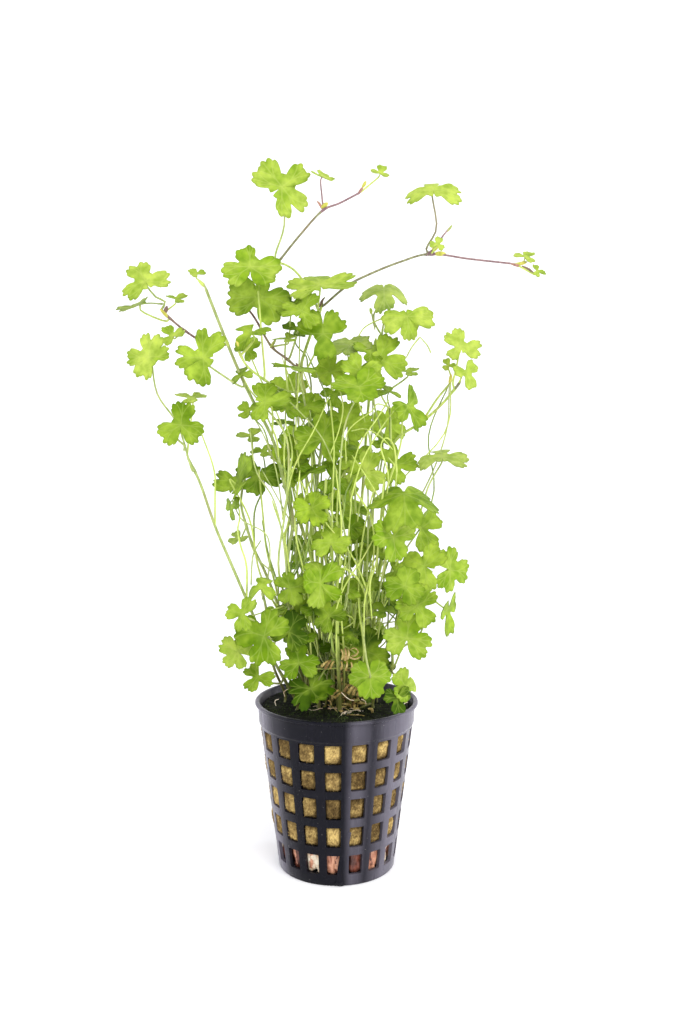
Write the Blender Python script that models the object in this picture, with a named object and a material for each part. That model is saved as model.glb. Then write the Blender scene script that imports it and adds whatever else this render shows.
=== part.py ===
"""Pennywort growing out of a rock wool plug in a slotted net pot.

The pot stands upright on its floor, with the plant above it. Lengths are in millimetres until a mesh is made.
The plant is set out on a front drawing. Across runs to the right and down runs downward, in drawing steps. A
depth in millimetres behind the pot's axis says how far back each place lies on its sight line.
"""

import math

import bpy
from mathutils import Vector
from mathutils.bvhtree import BVHTree

METRES_PER_MM = 0.001
GAP = 0.3

# Front drawing: its middle, its focal length in steps, and the point that it is drawn from
DRAWING_MIDDLE = (339.0, 512.0)
DRAWING_FOCAL = 1100.0
VIEW_ACROSS = 0.8
VIEW_DISTANCE = 349.0
VIEW_HEIGHT = 154.6
VIEW_DIP = math.radians(6.3)

# Net pot
POT_HEIGHT = 55.0
COLUMNS = 18
FIRST_COLUMN = math.radians(-2.5)
WINDOW_TURN = math.radians(12.4)
BASE_RADIUS = 18.9
STEP_RADIUS = 24.8
STEP_HEIGHT = 47.9
WALL = 1.1
FLOOR = 1.3
FOOT_EASE = 0.5
WINDOW_ROWS = ((3.9, 10.4), (13.2, 19.9), (22.6, 29.4), (32.0, 38.4), (40.9, 47.2))
BAND_RADII = (25.25, 25.45)
BAND_FOOT = 48.3
LIP_BOTTOM = 53.0
LIP_RADIUS = 26.4
LIP_TOP_RADIUS = 25.6
LIP_EASE = 0.6
LIP_UNDERCUT = 0.35
MOUTH_EASE = 0.3
SLOT_RADII = (8.5, 15.6)
POT_COLOUR = (0.012, 0.012, 0.02)

# Rock wool plug and the roots under it
WOOL_BOTTOM = 11.4
WOOL_TOP = 51.8
WOOL_SHIFT = -0.8
WOOL_SLACK = 0.9
WOOL_COLOUR = (0.36, 0.24, 0.09)
ROOT_LEVELS = ((1.7, 10.0), (5.0, 14.2), (11.0, 15.8))
ROOT_TURNS = 12
ROOT_RIPPLE = 0.07
RIPPLE_TURN = 2.4
RIPPLE_STEP = 1.7
ROOT_COLOUR = (0.34, 0.13, 0.07)

# Stems and leaves
STEM_SIDES = 4
TWIG_SIDES = 4
STALK_SIDES = 3
STALK_RADIUS = 0.42
STALK_STEPS = 3
LINE_PARTS = 8
BLADE_RISE = 0.15
BLADE_DEPTH = 0.45
NECK_LENGTH = 2.2
FOOT_LENGTH = 2.2
FOOT_LEAN = 0.8
FOOT_ROOM = 0.1
STALK_SPREAD = 1.15
YOUNG_RADII = (0.4, 0.42)
YOUNG_NECK = 1.5
YOUNG_CUP = 0.12
STEM_LIFT = 4.0
CLEARANCE = 0.3
STEM_COLOUR = (0.36, 0.46, 0.10)
RUNNER_COLOUR = (0.22, 0.15, 0.08)
LIME = (0.42, 0.62, 0.04)
FRESH = (0.27, 0.46, 0.03)
DEEP = (0.13, 0.28, 0.02)
PALE = (0.40, 0.52, 0.16)

# Lobes of a leaf: direction from the middle lobe and half width in degrees, reach as a share of its size
LOBES = (
    (-137.0, 25.0, 0.92), (-83.0, 27.0, 0.98), (0.0, 32.0, 1.0), (83.0, 27.0, 0.98), (137.0, 25.0, 0.92),
)
SHOULDER = 0.88
DEEP_CUT = 0.26
SHALLOW_CUT = 0.7
NOTCH = 0.16
YOUNG_LOBES = ((-100.0, 24.0, 0.85), (0.0, 24.0, 1.0), (100.0, 24.0, 0.85))
YOUNG_CUT = 0.42

# Stems: name, colour, first place on the wool in mm, radii at foot and tip, places on the drawing with depth
STEMS = (
    ("stem_left_tall", STEM_COLOUR, (-6.0, -4.0), (0.75, 0.6), (
        (303, 655, -6), (288, 600, -9), (288, 555, -11), (293, 520, -11), (284, 483, -10), (273, 440, -9),
        (253, 401, -8), (238, 369, -7), (222, 330, -5), (204, 284, -3))),
    ("stem_left_low", STEM_COLOUR, (-13.0, -6.0), (0.65, 0.5), (
        (268, 650, -16), (248, 603, -19), (229, 559, -20), (215, 526, -19), (200, 483, -17),
        (187, 456, -15))),
    ("stem_centre", STEM_COLOUR, (-1.0, 6.0), (0.75, 0.6), (
        (325, 640, 8), (322, 560, 9), (316, 480, 8), (308, 410, 5), (301, 372, 2), (307, 345, 1),
        (323, 303, 2))),
    ("stem_right", STEM_COLOUR, (7.0, 1.0), (0.75, 0.5), (
        (370, 650, 2), (374, 619, 0), (378, 575, -1), (384, 545, -1), (391, 500, 2), (389, 457, 4),
        (399, 437, 3), (422, 422, 1), (443, 403, -1), (458, 385, -3))),
    ("stem_right_low", STEM_COLOUR, (12.0, -4.0), (0.65, 0.5), (
        (391, 672, -8), (393, 645, -10), (402, 612, -9), (418, 588, -7))),
    ("stem_front", STEM_COLOUR, (1.0, -8.0), (0.8, 0.6), (
        (338, 655, -12), (337, 624, -14), (336, 603, -14), (338, 568, -14), (337, 540, -13), (326, 507, -11),
        (326, 478, -9))),
    ("stem_back", STEM_COLOUR, (6.0, 11.0), (0.7, 0.55), (
        (362, 620, 15), (360, 540, 16), (364, 470, 15), (368, 410, 11), (373, 370, 8), (376, 338, 6))),
    ("stem_rear", STEM_COLOUR, (-4.0, 14.0), (0.7, 0.55), (
        (318, 620, 22), (312, 540, 24), (318, 470, 22), (330, 420, 18), (333, 388, 16))),
    ("stem_left_front", STEM_COLOUR, (-17.0, 3.0), (0.6, 0.5), (
        (274, 668, -4), (268, 640, -8), (266, 609, -12), (262, 592, -14))),
    ("stem_left_mid", STEM_COLOUR, (-10.0, 8.0), (0.65, 0.5), (
        (288, 640, 4), (276, 600, 1), (265, 572, -1), (255, 551, -2), (246, 525, -1), (241, 500, 1),
        (247, 470, 3), (253, 454, 3))),
)

# Stems so full of joined leaves that only a union of whole closed bodies keeps every piece
CROWDED_STEMS = ("stem_back", "stem_rear")

# Runners that start at a node of a stem: name, colour, stem, radii, places with depth (the first is the node)
RUNNERS = (
    ("runner_right", RUNNER_COLOUR, "stem_centre", (0.5, 0.4), (
        (321, 306, 2), (347, 286, 0), (370, 274, 0), (400, 262, 0), (430, 254, 0), (470, 259, -1),
        (515, 264, -2))),
    ("runner_top", RUNNER_COLOUR, "stem_centre", (0.5, 0.42), (
        (319, 312, 2), (309, 290, 6), (297, 273, 8), (286, 265, 8), (274, 262, 7))),
)

# Branches joined to a stem: stem, radii, places with depth (the first lies inside the stem)
BRANCHES = (
    ("runner_top", (0.5, 0.4), ((278, 262, 7), (300, 235, 5), (322, 211, 3), (340, 203, 3), (361, 192, 3))),
    ("stem_left_tall", (0.5, 0.42), ((229, 346, -6), (206, 343, -1), (184, 330, 1), (164, 313, 1))),
    ("stem_centre", (0.5, 0.42), (
        (301, 372, 2), (287, 359, -1), (271, 346, -2), (254, 317, 2), (237, 296, 4), (229, 287, 5))),
    ("stem_centre", (0.48, 0.42), (
        (304, 392, 4), (290, 392, 0), (275, 386, -5), (262, 378, -10), (247, 366, -14), (238, 350, -15))),
    ("stem_right", (0.48, 0.4), ((424, 421, 1), (437, 399, 4), (450, 383, 4), (451, 376, 3))),
    ("runner_right", (0.4, 0.3), ((430, 254, 0), (440, 240, -1), (450, 227, -1))),
)

# Young leaves joined to their stem: stem, foot and leaf centre with depth, size, yaw, pitch, spin
YOUNG_LEAVES = (
    ("stem_left_tall", (204, 284, -3), (197, 274, -3), 3.4, 20, 50, -30),
    ("stem_left_tall", (164, 313, 1), (176, 299, 1), 4.2, 20, 62, 60),
    ("stem_left_tall", (184, 330, 1), (173, 336, -4), 4.8, -10, 35, -40),
    ("stem_left_low", (187, 456, -15), (193, 398, -16), 6.0, 10, 78, -60),
    ("stem_centre", (271, 346, -2), (288, 339, -5), 5.0, 0, 72, -90),
    ("stem_right", (458, 385, -3), (466, 372, -8), 6.2, 35, 25, 165),
    ("stem_right", (451, 376, 3), (449, 366, 3), 3.0, 0, 40, -20),
    ("stem_right_low", (418, 588, -7), (443, 603, -9), 8.4, 42, 12, 185),
    ("stem_left_mid", (253, 454, 3), (252, 436, 3), 5.4, 0, 62, -90),
    ("stem_left_mid", (246, 525, -1), (238, 540, -5), 4.2, -10, 30, -140),
    ("runner_right", (515, 264, -2), (525, 257, -2), 4.4, 20, 58, 50),
    ("runner_right", (515, 264, -2), (537, 271, -4), 3.2, 30, 40, 110),
    ("runner_right", (430, 254, 0), (437, 245, -4), 3.0, 10, 20, 20),
    ("runner_top", (322, 211, 3), (322, 177, 2), 4.8, 40, 62, 40),
    ("runner_top", (361, 192, 3), (380, 173, 3), 3.8, 20, 45, 30),
)

# Leaves: number, centre on the drawing with depth, size, yaw, pitch, spin, underside seen, cup, fold, colour,
# stem and place on the drawing where the stalk joins, places that the stalk passes
OWN_LEAVES = (
    (1, (284, 184, 3), 10.6, 0, 12, 45, False, 0.10, 0.0, LIME, "runner_top", (277, 262), ((280, 225, 5),)),
    (2, (249, 262, -9), 9.4, 5, 25, -15, False, 0.10, 0.0, LIME, "stem_centre", (236, 296), ()),
    (3, (259, 297, -3), 10.0, 0, 15, 0, True, 0.12, 0.1, FRESH, "stem_centre", (264, 379),
        ((262, 340, -8),)),
    (4, (252, 333, -14), 6.4, -25, 50, 200, False, 0.10, 0.5, FRESH, "stem_centre", (241, 356), ()),
    (5, (145, 281, -3), 8.6, 0, 30, -40, False, 0.10, 0.0, LIME, "stem_left_tall", (165, 314),
        ((156, 297, 1),)),
    (6, (140, 305, 3), 8.2, -50, 70, -60, False, 0.05, 0.0, PALE, "stem_left_tall", (170, 318), ()),
    (7, (203, 358, -14), 9.8, 25, 15, -70, False, 0.10, 0.0, FRESH, "stem_left_tall", (245, 384), ()),
    (8, (149, 357, -16), 8.0, -10, 12, -25, False, 0.12, 0.0, LIME, "stem_left_low", (193, 470),
        ((157, 394, -14), (171, 425, -14))),
    (9, (181, 425, -20), 8.6, 5, 12, 5, False, 0.08, 0.0, FRESH, "stem_left_low", (190, 462), ()),
    (10, (433, 190, 0), 8.6, 5, 50, 0, False, -0.30, 0.0, PALE, "runner_right", (431, 254), ((434, 228, 1),)),
    (11, (326, 284, -6), 9.8, 0, 55, -10, False, 0.05, 0.0, LIME, "stem_centre", (318, 314), ()),
    (12, (302, 311, -11), 7.4, -5, 22, 30, False, 0.10, 0.0, FRESH, "stem_centre", (289, 360), ()),
    (13, (323, 334, -9), 8.8, 5, 18, 100, False, 0.08, 0.0, FRESH, "stem_centre", (301, 370), ()),
    (14, (299, 368, -12), 8.6, 0, 84, -90, False, 0.06, 0.0, FRESH, "stem_centre", (309, 415),
        ((302, 390, -8),)),
    (15, (384, 290, 2), 9.6, 0, 52, 180, False, -0.30, 0.0, PALE, "stem_back", (376, 342), ((379, 318, 5),)),
    (16, (407, 317, -4), 7.8, 5, 40, 175, False, -0.15, 0.0, LIME, "stem_back", (375, 346), ((388, 318, 0),)),
    (17, (379, 359, -3), 8.8, 5, 25, 115, False, 0.05, 0.0, FRESH, "stem_back", (361, 590),
        ((374, 400, 3), (381, 450, 6), (374, 520, 8))),
    (18, (361, 371, -8), 7.0, -10, 22, -160, False, 0.10, 0.0, DEEP, "stem_back", (371, 380), ()),
    (19, (359, 387, -15), 8.8, 0, 56, 170, False, 0.10, 0.0, LIME, "stem_front", (337, 610),
        ((351, 430, -14), (344, 500, -14), (345, 560, -14))),
    (20, (461, 347, -2), 6.7, 5, 22, -15, False, 0.10, 0.0, LIME, "stem_right", (455, 388),
        ((462, 368, -1),)),
    (21, (408, 406, -9), 8.6, 50, 16, 150, False, 0.05, 0.3, FRESH, "stem_right", (376, 605),
        ((400, 445, -6), (389, 500, -8), (381, 560, -6))),
    (22, (442, 457, -8), 8.8, 0, 58, 0, False, -0.20, 0.0, PALE, "stem_right", (376, 605),
        ((434, 486, -6), (413, 514, -6), (397, 560, -5))),
    (23, (395, 465, -6), 7.2, 10, 20, 80, False, 0.10, 0.0, DEEP, "stem_right", (373, 640),
        ((389, 500, -5), (383, 560, -5))),
    (24, (404, 494, -15), 12.2, 0, 62, 180, False, -0.30, -0.4, FRESH, "stem_right", (374, 625),
        ((398, 540, -11), (388, 590, -7))),
    (25, (393, 537, -20), 8.4, 30, 14, 175, False, 0.05, 0.2, LIME, "stem_right", (376, 606),
        ((387, 574, -18),)),
    (26, (424, 566, -12), 8.6, 5, 30, -60, False, 0.05, 0.0, PALE, "stem_right_low", (411, 598), ()),
    (27, (450, 570, -8), 8.4, 30, 12, 100, False, 0.05, 0.1, LIME, "stem_right_low", (412, 597), ()),
    (28, (405, 586, -17), 7.6, 5, 20, 20, False, 0.08, 0.0, FRESH, "stem_right_low", (397, 632), ()),
    (29, (407, 638, -18), 8.4, 10, 18, 10, False, 0.10, 0.0, LIME, "stem_right_low", (391, 664), ()),
    (30, (235, 483, -9), 10.4, -58, 5, 10, True, 0.08, 0.0, PALE, "stem_left_mid", (276, 605),
        ((243, 520, -10), (260, 570, -8))),
    (31, (259, 474, -3), 8.0, 5, 12, 200, True, 0.10, 0.0, DEEP, "stem_left_mid", (272, 592),
        ((260, 515, -6), (266, 550, -7))),
    (32, (290, 456, 2), 7.6, 25, 22, 0, False, 0.10, 0.0, DEEP, "stem_centre", (322, 600),
        ((297, 500, 1), (308, 550, 3))),
    (33, (265, 402, -15), 8.4, 0, 44, 90, False, 0.10, 0.0, FRESH, "stem_left_tall", (294, 625),
        ((280, 440, -15), (291, 500, -16), (282, 570, -16))),
    (34, (322, 439, -6), 9.2, 5, 16, 20, False, 0.06, 0.0, FRESH, "stem_centre", (323, 620),
        ((312, 490, 0), (314, 550, 1))),
    (35, (366, 472, -9), 7.9, -15, 14, 0, False, 0.10, 0.1, LIME, "stem_right", (372, 640),
        ((364, 520, -9), (361, 580, -8))),
    (36, (312, 508, -18), 7.0, 0, 14, 150, False, 0.10, 0.0, DEEP, "stem_left_tall", (293, 590),
        ((309, 548, -17),)),
    (37, (320, 583, -22), 9.0, 30, 16, -80, False, 0.08, 0.1, LIME, "stem_right", (373, 625),
        ((350, 567, -16), (362, 592, -10))),
    (38, (365, 651, -8), 8.8, 0, 22, 20, False, 0.08, 0.0, DEEP, "stem_right", (370, 650), ()),
    (39, (370, 677, -25), 7.4, 0, 25, 175, True, 0.12, 0.0, LIME, "stem_right", (376, 600),
        ((363, 655, -25), (368, 622, -16))),
    (40, (406, 687, -19), 7.4, 20, 24, -60, False, 0.06, 0.0, LIME, "stem_right_low", (391, 672), ()),
    (41, (299, 663, -12), 8.8, 0, 18, -10, False, 0.08, 0.0, FRESH, "stem_left_tall", (300, 648), ()),
    (42, (311, 689, -16), 8.0, 0, 42, 150, False, 0.10, 0.0, FRESH, "stem_front", (338, 662), ()),
    (43, (264, 636, -26), 9.5, -5, 12, -75, False, 0.06, 0.0, LIME, "stem_left_front", (269, 645), ()),
    (44, (261, 588, -20), 6.6, -10, 46, 0, False, -0.30, 0.0, FRESH, "stem_left_front", (262, 594), ()),
)

# Leaves that are one piece with their stem, in the same order of values
STEM_LEAVES = (
    (45, (312, 407, -3), 5.6, 10, 30, 40, False, 0.10, 0.0, DEEP, "stem_centre", (319, 540),
        ((306, 470, 0),)),
    (46, (355, 457, 4), 6.8, 0, 25, -30, False, 0.10, 0.0, FRESH, "stem_back", (361, 580), ((356, 510, 8),)),
    (47, (366, 540, -2), 6.2, 0, 30, 60, False, 0.10, 0.0, DEEP, "stem_back", (361, 605), ()),
    (48, (347, 592, -13), 5.4, 0, 30, 20, False, 0.10, 0.0, FRESH, "stem_front", (337, 624), ()),
    (49, (329, 616, -19), 6.0, 0, 20, -40, False, 0.10, 0.0, DEEP, "stem_front", (338, 650), ()),
    (50, (238, 652, -22), 6.2, -10, 15, -60, False, 0.10, 0.0, LIME, "stem_left_low", (264, 642), ()),
    (51, (261, 677, -22), 6.6, -5, 25, -150, False, 0.10, 0.0, PALE, "stem_left_low", (276, 680), ()),
    (52, (289, 632, -17), 7.0, 10, 20, 30, False, 0.10, 0.0, DEEP, "stem_left_tall", (298, 640), ()),
    (53, (290, 588, -17), 6.2, 10, 30, 80, False, 0.10, 0.0, FRESH, "stem_left_tall", (289, 610), ()),
    (54, (243, 614, -26), 5.8, -15, 35, -80, False, 0.10, 0.0, FRESH, "stem_left_low", (256, 624), ()),
    (55, (331, 543, -19), 6.6, 0, 42, 0, False, 0.10, 0.0, DEEP, "stem_front", (338, 575), ()),
    (56, (331, 372, 8), 7.0, 0, 30, -10, False, 0.10, 0.0, DEEP, "stem_rear", (333, 390), ()),
    (57, (300, 440, 24), 8.6, -20, 30, -60, False, 0.10, 0.0, DEEP, "stem_rear", (314, 560),
        ((303, 490, 24),)),
    (58, (342, 500, 26), 9.0, 20, 35, 30, False, 0.10, 0.0, DEEP, "stem_rear", (314, 590), ()),
    (59, (392, 425, 22), 8.8, 15, 30, 40, False, 0.10, 0.0, DEEP, "stem_back", (362, 545), ((384, 470, 20),)),
    (60, (421, 528, 14), 9.0, 15, 25, 60, False, 0.10, 0.0, FRESH, "stem_back", (361, 620),
        ((396, 570, 14),)),
    (61, (281, 545, 20), 8.4, -25, 30, -60, False, 0.10, 0.0, DEEP, "stem_rear", (315, 605), ()),
    (62, (347, 615, 25), 9.0, 5, 40, 20, False, 0.10, 0.0, DEEP, "stem_rear", (322, 650), ()),
    (63, (420, 606, -12), 8.4, 10, 20, 150, False, 0.08, 0.0, LIME, "stem_right_low", (392, 655), ()),
    (64, (288, 392, 14), 8.0, -15, 25, -70, False, 0.10, 0.0, DEEP, "stem_rear", (323, 450), ()),
    (65, (348, 424, 0), 8.4, -5, 25, 10, False, 0.10, 0.0, FRESH, "stem_centre", (324, 630),
        ((338, 480, 2), (332, 560, 4))),
    (66, (418, 362, 9), 7.4, 15, 50, 60, False, 0.10, 0.0, FRESH, "stem_back", (370, 400), ()),
    (67, (296, 603, 12), 8.4, -15, 30, -40, False, 0.10, 0.0, DEEP, "stem_rear", (322, 650), ()),
    (68, (347, 345, 12), 8.2, 0, 30, -40, False, 0.10, 0.0, DEEP, "stem_back", (366, 425), ()),
    (69, (398, 610, 14), 8.6, 10, 25, 50, False, 0.10, 0.0, DEEP, "stem_back", (363, 650), ()),
)

# Room for a leaf: how far it may shift along its sight line, and how far its foot may slide along the stem
DEPTH_TRIES = (
    0, -1.5, 1.5, -3, 3, -4.5, 4.5, -6, 6, -7.5, 7.5, -9, 9, -11, 11, -13, 13, -15, 15, -18, 18, -21, 21,
)
SLIDE_TRIES = (0, 2, -2, 4, -4, 6, -6)
BOW_TRIES = (0, 2.5, -2.5, 5, -5)
VIA_SHARE = 0.6


def on_sight_line(across, down, depth):
    """The point at this depth on the sight line through a place of the drawing."""
    rise = (DRAWING_MIDDLE[1] - down) / DRAWING_FOCAL
    right = (across - DRAWING_MIDDLE[0]) / DRAWING_FOCAL
    forward = math.cos(VIEW_DIP) + rise * math.sin(VIEW_DIP)
    lift = rise * math.cos(VIEW_DIP) - math.sin(VIEW_DIP)
    reach = (VIEW_DISTANCE + depth) / forward
    return Vector((VIEW_ACROSS + right * reach, depth, VIEW_HEIGHT + lift * reach))


def drawn(point):
    """The place of the drawing where a point is seen."""
    out = point - Vector((VIEW_ACROSS, -VIEW_DISTANCE, VIEW_HEIGHT))
    away = out.y * math.cos(VIEW_DIP) - out.z * math.sin(VIEW_DIP)
    lift = out.y * math.sin(VIEW_DIP) + out.z * math.cos(VIEW_DIP)
    return Vector((
        DRAWING_MIDDLE[0] + DRAWING_FOCAL * out.x / away,
        DRAWING_MIDDLE[1] - DRAWING_FOCAL * lift / away,
    ))


def curve(points, count):
    """Points at even steps of a smooth curve that passes through all of the given points."""
    ends = [2 * points[0] - points[1]] + list(points) + [2 * points[-1] - points[-2]]
    found = []
    for step in range(count + 1):
        place = step / count * (len(points) - 1)
        span = min(int(place), len(points) - 2)
        t = place - span
        a, b, c, d = ends[span:span + 4]
        found.append(0.5 * (
            2 * b + (c - a) * t + (2 * a - 5 * b + 4 * c - d) * t ** 2 + (3 * b - a - 3 * c + d) * t ** 3
        ))
    return found


def finer(line):
    """The same line with more points on its straight runs."""
    points = [line[0]]
    for before, after in zip(line, line[1:]):
        points += [before.lerp(after, (step + 1) / LINE_PARTS) for step in range(LINE_PARTS)]
    return points


def direction(points, index):
    """The unit direction of a line of points at one of them."""
    ahead = points[min(index + 1, len(points) - 1)]
    behind = points[max(index - 1, 0)]
    return (ahead - behind).normalized()


def tube_rings(points, radii, sides, start_side=None):
    """Rings of points round a line, each turned as little as possible from the one before."""
    side = start_side or direction(points, 0).orthogonal().normalized()
    rings = []
    for index, point in enumerate(points):
        ahead = direction(points, index)
        side = (side - side.dot(ahead) * ahead).normalized()
        other = ahead.cross(side)
        ring = []
        for turn in range(sides):
            angle = math.tau * turn / sides
            ring.append(point + radii[index] * (math.cos(angle) * side + math.sin(angle) * other))
        rings.append(ring)
    return rings


def tube(points, radii, sides):
    """Vertices and faces of a closed round bar along a line of points."""
    verts = [place for ring in tube_rings(points, radii, sides) for place in ring]
    faces = [tuple(reversed(range(sides)))]
    for level in range(len(points) - 1):
        low = level * sides
        for turn in range(sides):
            nxt = (turn + 1) % sides
            faces.append((low + turn, low + nxt, low + sides + nxt, low + sides + turn))
    faces.append(tuple(range(len(verts) - sides, len(verts))))
    return verts, faces


def taper(first, last, count):
    """Radii that change evenly from first to last over a number of points."""
    return [first + (last - first) * index / max(count - 1, 1) for index in range(count)]


def blade_outline(lobes, cuts, pointed=True):
    """Outline of a leaf blade of size one, as (angle, radius) from the notch round to the notch again."""
    outline = [(-180.0, NOTCH)]
    for index, (turn, half, reach) in enumerate(lobes):
        outline.append((turn - half, reach * SHOULDER))
        if pointed:
            outline.append((turn, reach))
        outline.append((turn + half, reach * SHOULDER))
        if index < len(cuts):
            after_turn, after_half, _ = lobes[index + 1]
            outline.append(((turn + half + after_turn - after_half) / 2, cuts[index]))
    return outline


LEAF_OUTLINE = blade_outline(LOBES, (SHALLOW_CUT, DEEP_CUT, DEEP_CUT, SHALLOW_CUT))
PLAIN_OUTLINE = blade_outline(LOBES, (SHALLOW_CUT, DEEP_CUT, DEEP_CUT, SHALLOW_CUT), pointed=False)
YOUNG_OUTLINE = blade_outline(YOUNG_LOBES, (YOUNG_CUT, YOUNG_CUT))


def blade_axes(yaw, pitch, spin, underside):
    """Right, middle lobe and upper face directions of a blade, whose visible face has this yaw and pitch."""
    yaw, pitch, spin = (math.radians(value) for value in (yaw, pitch, spin))
    out = Vector((math.sin(yaw) * math.cos(pitch), -math.cos(yaw) * math.cos(pitch), math.sin(pitch)))
    up = Vector((-math.sin(yaw) * math.sin(pitch), math.cos(yaw) * math.sin(pitch), math.cos(pitch)))
    right = up.cross(out)
    middle = math.cos(spin) * up + math.sin(spin) * right
    if underside:
        out = -out
    return middle.cross(out), middle, out


def leaf_mesh(centre, axes, size, cup, fold, outline, stalk, radii, extra=0.0):
    """Vertices and faces of a lobed blade that runs on into its stalk.

    The stalk is a list of points that starts below the blade. The blade thins to nothing at its margin, and
    extra room all round gives it a thick margin instead.
    """
    right, middle, out = axes

    def place(angle, radius, rise):
        x = math.sin(math.radians(angle)) * radius * size
        y = math.cos(math.radians(angle)) * radius * size
        z = size * cup * radius ** 2 + fold * abs(x) + rise
        return centre + x * right + y * middle + z * out

    edge = [(angle, radius + extra / size) for angle, radius in outline]
    count = len(edge)
    verts = [centre + (BLADE_RISE + extra) * out]
    verts += [place(angle, radius, extra) for angle, radius in edge]
    lower = 1
    if extra:
        lower = len(verts)
        verts += [place(angle, radius, -extra) for angle, radius in edge]
    faces = []
    for index in range(count):
        nxt = (index + 1) % count
        faces.append((0, 1 + nxt, 1 + index))
        if extra:
            faces.append((1 + index, 1 + nxt, lower + nxt, lower + index))
    first = len(verts)
    neck = centre - (BLADE_DEPTH + extra) * out
    wedge = 360.0 / STALK_SIDES
    for turn in range(STALK_SIDES):
        angle = math.radians((turn + 0.5) * wedge - 180.0)
        verts.append(neck + (radii[0] + extra) * (math.sin(angle) * right + math.cos(angle) * middle))
    corner = [first + min(int((angle + 180.0) / wedge), STALK_SIDES - 1) for angle, _ in edge]
    for index in range(count):
        nxt = (index + 1) % count
        faces.append((lower + index, lower + nxt, corner[index]))
        if corner[nxt] != corner[index]:
            faces.append((corner[index], lower + nxt, corner[nxt]))
    before = [first + turn for turn in range(STALK_SIDES)]
    wide = [radii[0]] + [radius + extra for radius in radii]
    rings = tube_rings([neck] + stalk, wide, STALK_SIDES, verts[first] - neck)[1:]
    for ring in rings:
        now = list(range(len(verts), len(verts) + STALK_SIDES))
        verts += ring
        for turn in range(STALK_SIDES):
            nxt = (turn + 1) % STALK_SIDES
            faces.append((before[turn], before[nxt], now[nxt], now[turn]))
        before = now
    faces.append(tuple(before))
    return verts, faces


def tree_of(shape):
    """A search tree of a mesh's faces, to find what it crosses."""
    verts, faces = shape
    return BVHTree.FromPolygons([tuple(point) for point in verts], faces)


def crossings(shape, others):
    """How many faces of these search trees a mesh crosses."""
    tree = tree_of(shape)
    return sum(len(tree.overlap(other)) for other in others)


def foot_on_stem(line, radius, place, slide, toward):
    """Where a stalk starts: a point inside the stem, one just beside it, and one further outward."""
    nearest = min(range(len(line)), key=lambda index: (drawn(line[index]) - Vector(place)).length)
    along = direction(line, nearest)
    inside = line[nearest] + slide * along
    away = toward - inside
    away = (away - away.dot(along) * along).normalized()
    start = inside + (radius + GAP + FOOT_ROOM) * away
    return inside, start, inside + (radius + FOOT_LENGTH) * away + FOOT_LEAN * along


def stalk_line(centre, out, via, ends, bow):
    """Points of a leaf's stalk, from below the blade down to its foot."""
    below = centre - NECK_LENGTH * out
    passed = [point + Vector((0.0, bow, 0.0)) for point in via]
    if not via and bow:
        passed = [(below + ends[0]) / 2 + Vector((bow, 0.0, 0.0))]
    controls = [below] + passed + ends
    return curve(controls, max(STALK_STEPS, len(controls)))


def settled_leaf(row, lines, radii, others, own):
    """The leaf's mesh at the first try that clears everything placed before it.

    A leaf of its own stops beside the stem, and any other ends inside it.
    """
    _, spot, size, yaw, pitch, spin, underside, cup, fold, _, stem, joint, via = row
    axes = blade_axes(yaw, pitch, spin, underside)
    outline = LEAF_OUTLINE if own else PLAIN_OUTLINE
    best = None
    for shift in DEPTH_TRIES:
        centre = on_sight_line(spot[0], spot[1], spot[2] + shift)
        passed = [on_sight_line(a, d, depth + shift * VIA_SHARE) for a, d, depth in via]
        toward = passed[-1] if passed else centre
        for slide in SLIDE_TRIES:
            inside, start, outward = foot_on_stem(lines[stem], radii[stem], joint, slide, toward)
            for bow in BOW_TRIES:
                ends = [outward, start] if own else [outward, inside]
                stalk = stalk_line(centre, axes[2], passed, ends, bow)
                width = taper(STALK_RADIUS, STALK_RADIUS * STALK_SPREAD, len(stalk))
                roomy = leaf_mesh(centre, axes, size, cup, fold, outline, stalk[:-1], width[:-1], CLEARANCE)
                count = crossings(roomy, others.values())
                shape = leaf_mesh(centre, axes, size, cup, fold, outline, stalk, width)
                if own:
                    count += crossings(shape, others.values())
                else:
                    count += crossings(shape, [tree for name, tree in others.items() if name != stem])
                if best is None or count < best[0]:
                    best = (count, shape)
                if count == 0:
                    return shape
    return best[1]


def add_object(name, shape, colour, roughness=0.45, metallic=0.0, smooth=0.0):
    """Makes a named object from vertices and faces in millimetres, with its own material."""
    verts, faces = shape
    mesh = bpy.data.meshes.new(name)
    mesh.from_pydata([tuple(point * METRES_PER_MM) for point in verts], [], faces)
    mesh.validate()
    obj = bpy.data.objects.new(name, mesh)
    bpy.context.scene.collection.objects.link(obj)
    material = bpy.data.materials.new(name)
    material.use_nodes = True
    shader = material.node_tree.nodes["Principled BSDF"]
    shader.inputs["Base Color"].default_value = (*colour, 1.0)
    shader.inputs["Roughness"].default_value = roughness
    shader.inputs["Metallic"].default_value = metallic
    mesh.materials.append(material)
    if smooth:
        mesh.shade_smooth()
        mesh.set_sharp_from_angle(angle=math.radians(smooth))
    return obj


def pot_turns():
    """Directions of the pot's corners: the two sides of each window, column after column."""
    turns = []
    for column in range(COLUMNS):
        middle = FIRST_COLUMN + math.tau * column / COLUMNS
        turns += [middle - WINDOW_TURN / 2, middle + WINDOW_TURN / 2]
    return turns


def wall_radius(height):
    """Outer radius of the tapering wall."""
    return BASE_RADIUS + (STEP_RADIUS - BASE_RADIUS) * height / STEP_HEIGHT


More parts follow.
